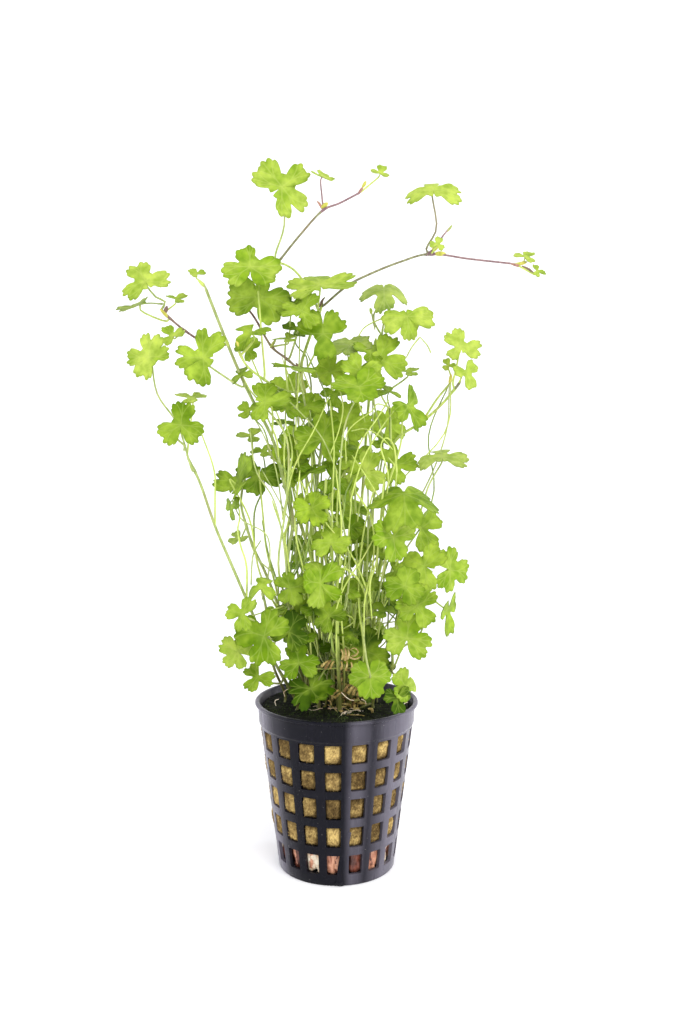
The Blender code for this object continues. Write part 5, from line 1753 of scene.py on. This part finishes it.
    def place_blade(
        self, shape: Shape, piece: Piece, shade: LeafShade, centre: Vector, axes: tuple[Vector, Vector, Vector]
    ) -> None:
        """Turns a blade into its place and adds it to a piece, with its own finish underneath.

        Args:
            shape: The blade.
            piece: The piece.
            shade: The blade's shade.
            centre: The place of its middle.
            axes: Its three directions.
        """
        upper, under = piece.slot(shade), piece.slot(f"{shade.value}_under")
        for face in shape.faces:
            face.material_index = upper if face.normal.z > 0 else under
        turn = Matrix.Identity(4)
        for column, axis in enumerate(axes):
            turn.col[column] = (*axis, 0.0)
        turn.col[3] = (*(centre + self.blade_rise * axes[2]), 1.0)
        bmesh.ops.transform(shape, matrix=turn, verts=shape.verts[:])
        piece.add(shape)

    def stem_look(self, row: LeafRow) -> LeafLook:
        """The look of a leaf that is part of its stem's piece, darker the lower it stands: painted shade.

        Args:
            row: The leaf.

        Returns:
            Its look.
        """
        index = row.number - len(LOOKS) - 1
        # Painted shade: a leaf lower on the drawing takes a darker tone.
        low = 0.0 if row.shade is LIME else min(max((row.spot[1] - self.painted_shade_from) / self.painted_shade_over, 0.0), 1.0)
        low *= 0.7 if row.shade is DEEP else 0.35
        return LeafLook(low + 0.3 * (index * 0.37 % 1.0), PLAIN_FORMS[index % len(PLAIN_FORMS)])

    def grow_young(self, index: int, row: YoungRow) -> None:
        """Adds one young leaf to its stem's piece.

        Args:
            index: Its number.
            row: The leaf.
        """
        rng = Random(2000 + index)
        axes = blade_axes(row.yaw, row.pitch, row.spin)
        foot = nearest(self.lines[row.stem], DRAWING.point(*row.foot))
        centre = DRAWING.point(*row.spot)
        piece = self.pieces[row.stem]
        shape = self.blades.blade(YOUNG_BLADE, row.size, 0.12, 0.0, rng.uniform(0.0, 0.5), rng)
        self.place_blade(shape, piece, row.shade, centre, axes)
        below = centre - self.young_neck * axes[2]
        piece.add(self.stalk([centre, below, (below + foot) / 2, foot], *self.young_radii), row.stalk)
        self.joints.append(foot)

    def grow(self) -> None:
        """Grows everything and finishes the pieces."""
        self.lay_lines()
        for row in LEAVES:
            if row.number not in LOOKS:
                self.grow_leaf(row, self.pieces[row.stem], self.stem_look(row))
                continue
            piece = Piece(f"leaf_{row.number:02d}_grown", self.finishes)
            self.grow_leaf(row, piece, LOOKS[row.number])
            piece.finish(row.shade.value, [f"leaf_{row.number:02d}"])
        for index, row in enumerate(YOUNG_LEAVES):
            self.grow_young(index, row)
        self.grow_bars()
        for name, piece in self.pieces.items():
            piece.finish("runner" if name.startswith("runner") else "stem", [name])


@dataclass(frozen=True)
class ThinStalk:
    """A thin stalk that no CAD node shows: its places on the drawing, its radius and its finish."""

    places: tuple[Place, ...]
    radius: float = 0.32
    finish: str = GREEN


THIN_STALKS = [ThinStalk(*row) for row in (
    (((201, 432, -17), (214, 470, -18), (215, 500, -19), (215, 527, -19)),),
    (((244, 520, -3), (256, 556, -6), (276, 578, -9), (279, 610, -9)), 0.3, GREY),
    (((262, 520, -8), (268, 552, -8), (276, 578, -9)), 0.28, SHADED),
    (((310, 546, -14), (297, 566, -15), (290, 582, -15), (282, 606, -14)), 0.3, SHADED),
    (((324, 524, -15), (321, 545, -17), (318, 572, -17), (322, 640, -13)), 0.3),
    (((261, 540, -9), (253, 556, -13), (251, 586, -18)), 0.28, GREY),
    (((246, 618, -24), (264, 612, -20), (285, 606, -14)), 0.26),
    (((272, 500, -12), (278, 545, -14), (284, 600, -15), (290, 650, -13), (296, 690, -9)), 0.34),
    (((300, 470, -14), (303, 530, -16), (306, 590, -16), (312, 650, -13), (316, 694, -9)), 0.34),
    (((336, 470, -14), (341, 530, -18), (344, 590, -18), (342, 650, -14), (340, 696, -9)), 0.36),
    (((352, 490, -12), (349, 540, -14), (346, 600, -15), (345, 655, -12), (344, 696, -8)), 0.34),
    (((376, 480, -10), (371, 540, -13), (366, 600, -14), (360, 655, -12), (354, 696, -8)), 0.34),
    (((388, 457, -8), (396, 468, -9), (396, 480, -9), (394, 499, -9), (386, 560, -10), (378, 640, -8)), 0.3),
    (((406, 358, -6), (412, 347, -7), (420, 337, -7)), 0.3, GREY),
    (((420, 337, -7), (427, 345, -7), (431, 353, -7)), 0.28, GREY),
    (((358, 337, 4), (364, 328, 3), (374, 322, 2), (391, 315, 0)), 0.28),
    (((330, 400, -6), (334, 450, -10), (332, 520, -15), (334, 600, -16)), 0.34),
    (((345, 440, 4), (352, 500, 4), (356, 560, 4), (358, 640, 3), (358, 690, 3)), 0.34),
    (((292, 430, 6), (300, 500, 8), (305, 570, 8), (312, 640, 6), (318, 690, 4)), 0.34),
    (((282, 470, 2), (292, 530, 4), (300, 600, 4), (306, 690, 2)), 0.32, SHADED),
    (((370, 430, 2), (372, 500, 2), (367, 570, 2), (360, 640, 2), (352, 692, 2)), 0.34),
    (((358, 400, 0), (362, 450, -2), (360, 520, -4), (352, 600, -5), (346, 690, -4)), 0.34),
    (((310, 440, -4), (318, 500, -6), (326, 570, -8), (330, 640, -8), (334, 694, -6)), 0.34),
    (((400, 520, -4), (392, 560, -6), (380, 610, -6), (368, 660, -4), (360, 692, -3)), 0.32, SHADED),
    (((346, 340, 8), (348, 400, 8), (344, 470, 8), (340, 560, 8), (336, 690, 6)), 0.34),
    (((300, 330, -2), (296, 380, -4), (302, 440, -6), (312, 520, -8), (318, 610, -8)), 0.3),
    (((350, 478, -12), (360, 444, -12), (376, 420, -11), (389, 400, -9)), 0.26),
    (((346, 464, -11), (351, 432, -12), (366, 411, -12), (384, 404, -10), (398, 411, -8)), 0.24),
    (((393, 450, -8), (381, 437, -10), (366, 429, -10), (351, 431, -8)), 0.22),
    (((386, 506, -14), (388, 474, -15), (381, 448, -15), (386, 438, -15), (394, 447, -14), (397, 474, -13)),
     0.3),
    (((330, 455, -12), (339, 430, -14), (343, 408, -14), (340, 390, -12)), 0.24),
    (((372, 620, -16), (377, 585, -18), (384, 560, -18), (389, 520, -17), (384, 480, -15)), 0.36),
    (((364, 640, -16), (369, 600, -17), (372, 560, -17), (366, 520, -16), (356, 492, -14)), 0.34),
    (((250, 430, -12), (259, 470, -14), (276, 500, -15), (287, 540, -16), (288, 590, -16)), 0.28, GREY),
    (((232, 500, -10), (246, 520, -12), (262, 536, -14), (268, 570, -15), (262, 600, -16)), 0.26, GREY),
    (((275, 388, -8), (300, 412, -9), (322, 438, -10), (338, 474, -11)), 0.25, GREY),
    (((396, 408, -8), (380, 430, -11), (362, 462, -13), (350, 502, -14)), 0.28),
    (((330, 395, -6), (314, 430, -12), (294, 468, -14), (282, 520, -14)), 0.26),
    (((352, 455, -12), (372, 486, -14), (390, 520, -14), (400, 560, -14)), 0.26),
    (((300, 480, -14), (324, 520, -16), (352, 556, -17), (372, 602, -16)), 0.28),
    (((384, 520, -16), (364, 556, -18), (342, 592, -19), (328, 642, -16)), 0.28),
    (((262, 470, -9), (282, 506, -13), (302, 548, -15), (318, 604, -15)), 0.26, GREY),
    (((242, 400, -9), (262, 432, -11), (276, 470, -12), (284, 524, -12)), 0.25, GREY),
)]


@dataclass(frozen=True)
class BitRow:
    """A small leaf low in the tuft, on a stalk of its own that starts at the crown."""

    spot: Place
    size: float
    yaw: float
    pitch: float
    spin: float
    tone: float
    shade: LeafShade = FRESH


# The lowest bits take the deep shade or the painted-shade copy: their darkness is painted shade of the tuft.
BITS = [BitRow(*row) for row in (
    ((297, 466, -6), 5.2, 0, 70, 20, 0.6), ((345, 449, -4), 5.0, 10, 58, 70, 0.5),
    ((352, 463, -8), 4.6, -10, 40, 150, 0.5), ((331, 520, -4), 5.2, 15, 60, -30, 0.8),
    ((303, 503, -10), 4.4, -30, 30, 50, 0.7), ((308, 521, -4), 5.4, 5, 82, 10, 0.4),
    ((327, 541, -12), 5.2, 0, 48, -60, 0.6), ((366, 537, -8), 5.2, 38, 57, 100, 0.6),
    ((373, 553, -5), 5.8, 30, 40, 0, 0.5), ((349, 591, -14), 5.2, -15, 52, 30, 0.6),
    ((297, 606, -14), 5.4, -20, 44, 80, 0.2, DEEP), ((314, 609, -17), 5.2, 10, 62, -20, 0.7),
    ((275, 612, -12), 5.0, -10, 76, 40, 0.5), ((286, 633, -14), 5.6, -48, 52, 10, 0.5, DEEP),
    ((333, 622, -11), 5.2, 0, 56, 90, 0.4, DEEP), ((352, 635, -13), 6.0, 38, 70, -40, 0.6, DEEP),
    ((303, 637, -17), 5.2, -10, 66, 0, 0.8), ((376, 586, -11), 5.4, 58, 62, 30, 0.4),
    ((396, 572, -14), 5.0, 10, 60, 120, 0.3), ((384, 611, -13), 5.2, 25, 70, -20, 0.5),
    ((366, 652, -4), 5.4, 30, 40, 60, 0.7, DEEP), ((341, 662, -2), 5.0, -20, 60, 10, 0.8, DEEP),
    ((262, 452, -4), 4.6, -30, 64, 20, 0.4), ((336, 396, 2), 5.4, 10, 50, -60, 0.6),
    ((316, 426, 6), 5.4, -10, 60, 40, 0.6), ((383, 442, 6), 5.0, 30, 50, 0, 0.5),
    ((349, 556, 4), 5.6, 0, 50, 80, 0.8), ((300, 566, 6), 5.4, -43, 67, -20, 0.7),
    ((336, 470, 10), 5.8, 5, 45, 60, 0.7), ((356, 510, 12), 5.4, 20, 55, 0, 0.6),
    ((270, 395, -6), 4.8, -20, 60, 60, 0.5), ((284, 423, -2), 4.6, 10, 70, -20, 0.6),
    ((307, 406, -2), 6.0, 0, 40, 100, 0.7), ((249, 411, -12), 4.4, -20, 50, -60, 0.4),
    ((286, 408, -6), 5.6, 10, 42, 30, 0.8), ((311, 472, -8), 6.2, -28, 62, -30, 0.7),
    ((333, 480, -8), 6.6, 10, 32, 120, 0.9), ((288, 478, -6), 5.6, -10, 50, 60, 0.5),
    ((350, 528, -6), 6.0, 0, 40, 40, 0.6), ((371, 352, -1), 6.6, 28, 54, -60, 0.5),
    ((291, 306, -3), 5.6, -10, 34, -40, 0.6), ((296, 330, -2), 5.0, 10, 56, 60, 0.7),
    ((324, 507, -2), 6.2, -5, 36, 80, 0.9), ((389, 392, 2), 5.2, 38, 68, 20, 0.5),
    ((232, 506, -12), 5.0, -64, 10, 170, 0.9), ((372, 580, -8), 6.0, 28, 62, -80, 0.7),
    ((397, 697, -22), 5.4, 18, 12, 178, 0.8, DEEP), ((312, 655, 14), 7.6, -10, 34, 60, 0.4, DIM),
    ((331, 668, 15), 7.6, 0, 30, -40, 0.4, DIM), ((347, 648, 16), 7.8, 10, 34, 20, 0.4, DIM),
    ((300, 678, 10), 7.2, -20, 30, 100, 0.4, DIM), ((326, 638, 20), 8.0, 0, 30, 0, 0.5, DEEP),
    ((352, 676, 10), 7.2, 10, 30, -80, 0.4, DIM), ((376, 664, 14), 7.6, 38, 56, 40, 0.3, DIM),
    ((300, 625, 16), 7.4, -10, 36, 140, 0.5, DEEP), ((372, 630, 14), 7.6, 28, 58, -20, 0.5, DEEP),
    ((318, 612, 12), 7.0, -20, 40, 30, 0.5, DEEP), ((340, 604, 14), 7.4, 10, 48, -70, 0.9),
    ((357, 618, 8), 6.6, -5, 52, 120, 0.5, DEEP), ((334, 648, -3), 5.6, 10, 46, 20, 0.0, DIM),
    ((318, 678, 2), 6.0, -20, 36, -30, 0.3, DIM), ((365, 690, 2), 6.0, 30, 30, 70, 0.2, DIM),
    ((346, 628, -2), 5.4, -30, 40, 60, 0.5, DEEP), ((306, 588, 8), 6.0, 15, 44, 10, 0.9),
    ((368, 600, 6), 6.0, -10, 50, 40, 0.9), ((329, 588, 4), 5.6, 24, 38, -100, 0.9),
    ((247, 350, -9), 5.2, -20, 34, 40, 0.5), ((242, 375, -9), 4.6, -30, 50, -30, 0.4),
)]


@dataclass
class Tuft:
    """What stands between the stems: thin stalks, small leaves, and strands that join the stems."""

    finishes: Finishes
    plant: Plant
    strands: int = 24
    wool_top: float = 52.6
    spread: float = 10.0
    behind: float = 2.5
    near_limit: float = -31.0
    high: float = 105.0
    drop: float = 30.0
    free_places: int = 5
    free_stray: float = 2.8
    tip_above: float = 78.0
    strand_sway: float = 8.0
    leaf_sway: float = 1.6
    leaf_radii: Pair = (0.32, 0.2)
    seed: int = 23

    def crown(self, rng: Random) -> Vector:
        """A place on the wool's top near its middle."""
        turn, out = rng.uniform(0, math.tau), self.spread * math.sqrt(rng.random())
        return Vector((out * math.cos(turn), self.behind + 0.8 * out * math.sin(turn), self.wool_top))

    def bend(self, rng: Random, foot: Vector, tip: Vector, sway: float) -> list[Vector]:
        """The places that a slack stalk passes from its foot to its tip.

        Args:
            rng: The source of its bends.
            foot: Its foot.
            tip: Its tip.
            sway: How far it strays from the straight line.

        Returns:
            The places.
        """
        places = [foot, foot + Vector((rng.uniform(-1, 1), rng.uniform(-1, 1), rng.uniform(6, 12)))]
        for part in (0.35, 0.6, 0.82):
            place = places[1].lerp(tip, part)
            place += Vector((rng.uniform(-sway, sway), rng.uniform(-sway, sway), 0))
            place.y = max(place.y, self.near_limit)
            places.append(place)
        return places + [tip]

    def build_stalks(self) -> None:
        """Makes the piece of thin stalks."""
        rng = Random(self.seed)
        piece = Piece("thin_stalks", self.finishes)
        for row in THIN_STALKS:
            points = DRAWING.points(row.places)
            if len(points) == self.free_places:
                for point in points[1:-1]:
                    point.x += rng.uniform(-self.free_stray, self.free_stray)
            line = curve(points, 8 * len(points))
            radii = taper(row.radius * 0.7, row.radius * 0.95, len(line))
            piece.add(swept(line, rounded_ends(radii), 6), row.finish)
        names = [row.name for row in STEMS if not row.name.startswith("stem_left")]
        for _ in range(self.strands):
            line = self.plant.lines[rng.choice(names)]
            tip = rng.choice([point for point in line if point.z > self.tip_above] or line[-3:]).copy()
            path = curve(self.bend(rng, self.crown(rng), tip, self.strand_sway), 30)
            key = rng.choice((GREEN, GREEN, GREY, SHADED))
            radii = taper(rng.uniform(0.26, 0.34), rng.uniform(0.2, 0.26), len(path))
            piece.add(swept(path, rounded_ends(radii), 6), key)
        piece.finish("stem")

    def build_leaves(self) -> None:
        """Makes the piece of small leaves with their stalks."""
        rng = Random(self.seed + 1)
        piece = Piece("low_leaves", self.finishes)
        stems = [point for row in STEMS for point in self.plant.lines[row.name]]
        for row in BITS:
            axes = blade_axes(row.yaw, row.pitch, row.spin)
            centre = DRAWING.point(*row.spot)
            shape = self.plant.blades.blade(BIT_BLADE, row.size, 0.05, 0.0, row.tone, rng)
            self.plant.place_blade(shape, piece, row.shade, centre, axes)
            foot = self.crown(rng)
            foot.x = 0.6 * foot.x + 0.4 * centre.x
            if centre.z > self.high:
                foot = nearest(stems, centre - Vector((0.0, 0.0, self.drop)))
            line = curve(self.bend(rng, foot, centre - 2.0 * axes[2], self.leaf_sway) + [centre], 24)
            key = rng.choice((GREEN, GREEN, SHADED))
            piece.add(swept(line, taper(*self.leaf_radii, len(line)), 6), key)
        piece.finish("leaf_deep")


NODES = (
    ((322, 209, 3), (317, 201, 3), 0.42, "node_pink"), ((321, 208, 3), (328, 203, 3), 0.75, BUD),
    ((358, 194, 3), (363, 187, 3), 0.5, "node_pink"), ((362, 188, 3), (366, 181, 2.5), 0.55, BUD),
    ((426, 256, 0), (432, 250, -1), 0.42, "runner_purple"), ((431, 253, 0), (440, 242, -1), 0.8, BUD),
    ((434, 254, 0), (446, 254, 0), 0.8, BUD), ((511, 264, -2), (521, 267, -2), 0.5, "node_pink"),
    ((517, 265, -2), (527, 262, -2), 0.6, BUD), ((522, 266, -2), (534, 273, -3), 0.4, PURPLE),
    ((447, 232, -1), (452, 225, -1), 0.42, GREY), ((319, 307, 2), (323, 299, 1), 0.5, PURPLE),
    ((320, 303, 2), (325, 297, 1), 0.34, "runner_brown"), ((204, 287, -3), (198, 280, -3), 0.55, GREEN),
    ((164, 315, 1), (167, 306, 0), 0.7, PURPLE), ((168, 318, 1), (160, 309, 0), 0.6, BUD),
    ((455, 389, -3), (461, 380, -4), 0.5, "runner_brown"), ((449, 383, 3), (451, 374, 3), 0.55, BUD),
    ((375, 330, 5), (371, 311, 4), 0.4, GREY), ((371, 314, 4), (370, 308, 4), 0.55, GREEN),
    ((301, 374, 2), (296, 363, 0), 0.6, PURPLE), ((270, 348, -2), (276, 339, -3), 0.5, "stem_green"),
    ((229, 348, -6), (224, 338, -6), 0.5, "stem_green"), ((240, 350, -15), (236, 341, -15), 0.5, BUD),
    ((389, 459, 4), (396, 450, 2), 0.6, "stem_green"), ((422, 424, 1), (427, 414, 0), 0.5, BUD),
    ((392, 646, -10), (397, 634, -12), 0.7, SHEATH), ((338, 606, -14), (334, 594, -16), 0.6, "stem_green"),
    ((338, 570, -14), (342, 558, -15), 0.6, "stem_green"), ((289, 601, -9), (284, 590, -11), 0.6, "stem_green"),
)
CROWN_ROOTS = (
    (((341, 692, -16), (346, 697, -17), (351, 700, -17), (357, 700, -17)), 0.17, CREAM),
    (((361, 699, -17), (365, 701, -17), (366, 705, -17)), 0.13, CREAM),
    (((355, 701, -17), (357, 700, -17.5), (360, 700, -17.5)), 0.5, BUD),
    (((310, 668, -13), (325, 669, -13), (340, 668, -12), (356, 668, -10)), 0.26, GREEN),
    (((344, 692, -15), (347, 687, -16), (351, 683, -15)), 0.55, STRAND),
    (((348, 694, -15), (351, 689, -16), (355, 685, -15)), 0.6, SHEATH),
    (((353, 695, -15), (355, 690, -16), (359, 687, -15)), 0.5, SHEATH),
    (((357, 696, -15), (359, 691, -15.5), (361, 688, -15)), 0.45, STRAND),
    (((331, 696, -15), (335, 692, -15.5), (339, 690, -15)), 0.5, SHEATH),
    (((334, 698, -15), (338, 695, -15.5), (341, 692, -15)), 0.45, SHEATH),
    (((342, 660, -14), (343, 654, -14.5), (341, 649, -14)), 0.45, SHEATH),
    (((345, 661, -14), (346, 654, -15), (345, 648, -14)), 0.55, STRAND),
    (((347, 660, -14), (349, 654, -15), (348, 649, -14)), 0.45, SHEATH),
    (((351, 656, -13), (356, 655, -13), (358, 651, -13), (354, 648, -13), (350, 650, -13)), 0.3, SHEATH),
    (((349, 657, -13), (355, 659, -13), (361, 657, -12)), 0.35, SHEATH),
    (((321, 667, -14), (325, 663, -14.5), (329, 661, -14)), 0.5, SHEATH),
    (((325, 669, -14), (328, 664, -15), (331, 660, -14)), 0.55, STRAND),
    (((330, 669, -14), (332, 664, -15), (334, 661, -14)), 0.45, SHEATH),
    (((341, 670, -14), (342, 665, -14.5), (341, 661, -14)), 0.4, SHEATH),
    (((346, 671, -14), (347, 665, -14.5), (347, 661, -14)), 0.4, SHEATH),
    (((351, 671, -13.5), (352, 666, -14), (351, 662, -13.5)), 0.4, SHEATH),
    (((285, 697, -12), (284, 692, -13), (288, 689, -13)), 0.14, CREAM),
    (((276, 706, -12), (275, 701, -13), (279, 699, -13)), 0.13, CREAM),
    (((404, 709, -10), (404, 704, -11), (408, 702, -11)), 0.16, CREAM),
)


@dataclass
class Crown:
    """The litter where the stems leave the wool, which is dead sheaths and fine roots, and the buds at nodes."""

    finishes: Finishes
    soil: float = 53.0
    sheaths: int = 90
    threads: int = 16
    middle: Pair = (3.0, -3.0)
    heap: float = 16.0
    thread_middle: Pair = (3.0, -6.0)
    rng: Random = field(default_factory=lambda: Random(31))

    def spindle(self, foot: Vector, tip: Vector, radius: float, bow: Vector) -> Shape:
        """A bud's or a sheath's body, pointed at both ends.

        Args:
            foot: Its foot.
            tip: Its tip.
            radius: Its radius in the middle.
            bow: How far its middle is bent out.

        Returns:
            The body.
        """
        line = curve([foot, foot.lerp(tip, 0.5) + bow, tip], 8)
        radii = [radius * math.sin(math.pi * (0.08 + 0.86 * step / 8)) ** 0.7 for step in range(9)]
        return swept(line, radii, 7)

    def build_nodes(self) -> None:
        """Makes the piece of buds and sheaths along the stems."""
        piece = Piece("node_buds", self.finishes)
        for foot, tip, radius, finish in NODES:
            foot, tip = DRAWING.points((foot, tip))
            piece.add(self.spindle(foot, tip, radius, Vector((0.15, -0.1, 0.1))), finish)
        piece.finish("stem")

    def add_sheath(self, piece: Piece) -> None:
        """Adds a dead sheath, which lies the higher the nearer it is to the crown's middle.

        Args:
            piece: The piece.
        """
        rng, (across, behind) = self.rng, self.middle
        foot = Vector((rng.gauss(across, 2.6), rng.gauss(behind, 2.2), self.soil - 0.4))
        foot.z += self.heap * rng.random() ** 1.2 * math.exp(-(((foot.x - across) / 5.0) ** 2))
        lean = Vector((rng.gauss(0, 1), rng.gauss(0, 1), rng.uniform(0.1, 1.6))).normalized()
        tip = foot + rng.uniform(1.6, 4.4) * lean
        key = rng.choice((SHEATH, SHEATH, STRAND, SHADED))
        bow = Vector((rng.uniform(-0.8, 0.8), rng.uniform(-0.8, 0.8), 0.3))
        piece.add(self.spindle(foot, tip, rng.uniform(0.2, 0.55), bow), key)

    def thread(self) -> Shape:
        """A fine root that winds over the wool's top.

        Returns:
            The root's bar.
        """
        rng, (across, behind) = self.rng, self.thread_middle
        turn, out = rng.uniform(0, math.tau), rng.uniform(0.0, 9.0)
        place = Vector((across + out * math.cos(turn), behind + out * math.sin(turn), self.soil))
        heading = rng.uniform(0, math.tau)
        points = []
        for _ in range(5):
            points.append(place + Vector((0, 0, rng.uniform(-0.3, 0.7))))
            heading += rng.uniform(-0.9, 0.9)
            place = place + 1.6 * Vector((math.cos(heading), math.sin(heading), 0))
        thick = rng.uniform(0.13, 0.26)
        return swept(curve(points, 14), taper(thick, 0.5 * thick, 15), 5)

    def build_litter(self) -> None:
        """Makes the piece of dead sheaths and fine roots on the wool's top."""
        piece = Piece("crown_litter", self.finishes)
        for _ in range(self.sheaths):
            self.add_sheath(piece)
        for index in range(self.threads):
            piece.add(self.thread(), CREAM if index % 3 else SHEATH)
        for places, thick, key in CROWN_ROOTS:
            line = curve(DRAWING.points(places), 16)
            piece.add(swept(line, rounded_ends(taper(thick, 0.6 * thick, len(line))), 6), key)
        piece.finish("roots")


@dataclass
class Studio:
    """A plain pale floor with a backdrop, soft light and the camera."""

    drawing: Drawing = DRAWING
    half_width: float = 2.4
    half_length: float = 1.6
    turn_at: float = 0.55
    turn_radius: float = 0.35
    sensor: float = 36.0
    picture: float = 1024.0
    lamps: tuple[tuple, ...] = (
        ("key", (0.42, -0.7, 0.85), (0.0, 0.0, 0.12), 8.0, (0.9, 0.9), (1.0, 0.99, 0.97)),
        ("fill", (-0.8, -0.5, 0.4), (0.0, 0.0, 0.1), 3.0, (0.7, 0.7), (0.96, 0.97, 1.0)),
        ("strip", (0.5, -0.62, 0.16), (0.0, 0.0, 0.04), 1.3, (0.12, 0.3), (0.95, 0.95, 1.0)),
        ("side_strip", (0.75, 0.16, 0.2), (0.0, 0.0, 0.04), 2.0, (0.14, 0.4), (0.95, 0.93, 1.0)),
        ("left_strip", (-0.72, 0.3, 0.2), (0.0, 0.0, 0.04), 1.8, (0.14, 0.4), (0.95, 0.94, 1.0)),
    )

    def backdrop(self) -> None:
        """Makes the floor, which curves up into a wall behind."""
        shape = bmesh.new()
        bmesh.ops.create_grid(shape, x_segments=2, y_segments=80, size=1.0)
        turn_at, radius = self.turn_at, self.turn_radius
        for vert in shape.verts:
            along = self.half_length * vert.co.y
            vert.co.x *= self.half_width
            beyond = (along - turn_at) / radius
            if beyond <= 0:
                vert.co.y, vert.co.z = along, 0.0
            elif beyond < math.pi / 2:
                vert.co.y, vert.co.z = turn_at + radius * math.sin(beyond), radius * (1 - math.cos(beyond))
            else:
                vert.co.y, vert.co.z = turn_at + radius, radius + radius * (beyond - math.pi / 2) * 1.6
        data = bpy.data.meshes.new("backdrop")
        shape.to_mesh(data)
        shape.free()
        data.shade_smooth()
        sheet = Sheet("paper")
        stops = ((0.0, (0.93, 0.93, 0.94)), (1.0, (0.95, 0.95, 0.95)))
        tone = sheet.ramp(sheet.noise(sheet.place(), 2.0, 1.0), stops)
        data.materials.append(sheet.finish(tone, Roughness=0.9, Specular_IOR_Level=0.1))
        obj = bpy.data.objects.new("backdrop", data)
        bpy.context.scene.collection.objects.link(obj)

    def lamp(self, name: str, place: Place, toward: Place, power: float, size: Pair, colour: Colour) -> None:
        """Adds one soft lamp.

        Args:
            name: Its name.
            place: Where it hangs, in metres.
            toward: What it faces.
            power: Its power in watts.
            size: Its width and height.
            colour: Its colour.
        """
        data = bpy.data.lights.new(name, "AREA")
        data.shape = "RECTANGLE"
        data.energy, data.color = power, colour
        data.size, data.size_y = size
        obj = bpy.data.objects.new(name, data)
        obj.location = place
        obj.rotation_euler = (Vector(toward) - Vector(place)).to_track_quat("-Z", "Y").to_euler()
        bpy.context.scene.collection.objects.link(obj)

    def world(self) -> None:
        """Sets up the even light from all round."""
        world = bpy.data.worlds.new("studio")
        world.use_nodes = True
        inputs = world.node_tree.nodes["Background"].inputs
        inputs["Color"].default_value = (0.98, 0.98, 1.0, 1.0)
        inputs["Strength"].default_value = 0.95
        bpy.context.scene.world = world
        bpy.context.scene.view_settings.view_transform = "Standard"

    def camera(self) -> None:
        """Puts the camera where the drawing is seen from."""
        data = bpy.data.cameras.new("camera")
        data.sensor_width = self.sensor
        data.lens = self.drawing.focal / self.picture * data.sensor_width
        data.clip_start = 0.01
        obj = bpy.data.objects.new("camera", data)
        obj.location = (self.drawing.across * MM, -self.drawing.distance * MM, self.drawing.height * MM)
        obj.rotation_euler = (math.pi / 2 - self.drawing.dip, 0.0, 0.0)
        bpy.context.scene.collection.objects.link(obj)
        bpy.context.scene.camera = obj

    def build(self) -> None:
        """Sets up the whole studio."""
        self.backdrop()
        for row in self.lamps:
            self.lamp(*row)
        self.world()
        self.camera()


def main() -> None:
    logging.basicConfig(level=logging.INFO, format="%(name)s: %(message)s")
    Studio().build()
    finishes = Finishes()
    pot = NetPot(finishes)
    pot.build()
    WoolPlug(finishes, pot).build()
    RootMass(finishes, pot).build()
    plant = Plant(finishes)
    plant.grow()
    tuft = Tuft(finishes, plant)
    tuft.build_stalks()
    tuft.build_leaves()
    crown = Crown(finishes)
    crown.build_nodes()
    crown.build_litter()


if __name__ == "__main__":
    main()
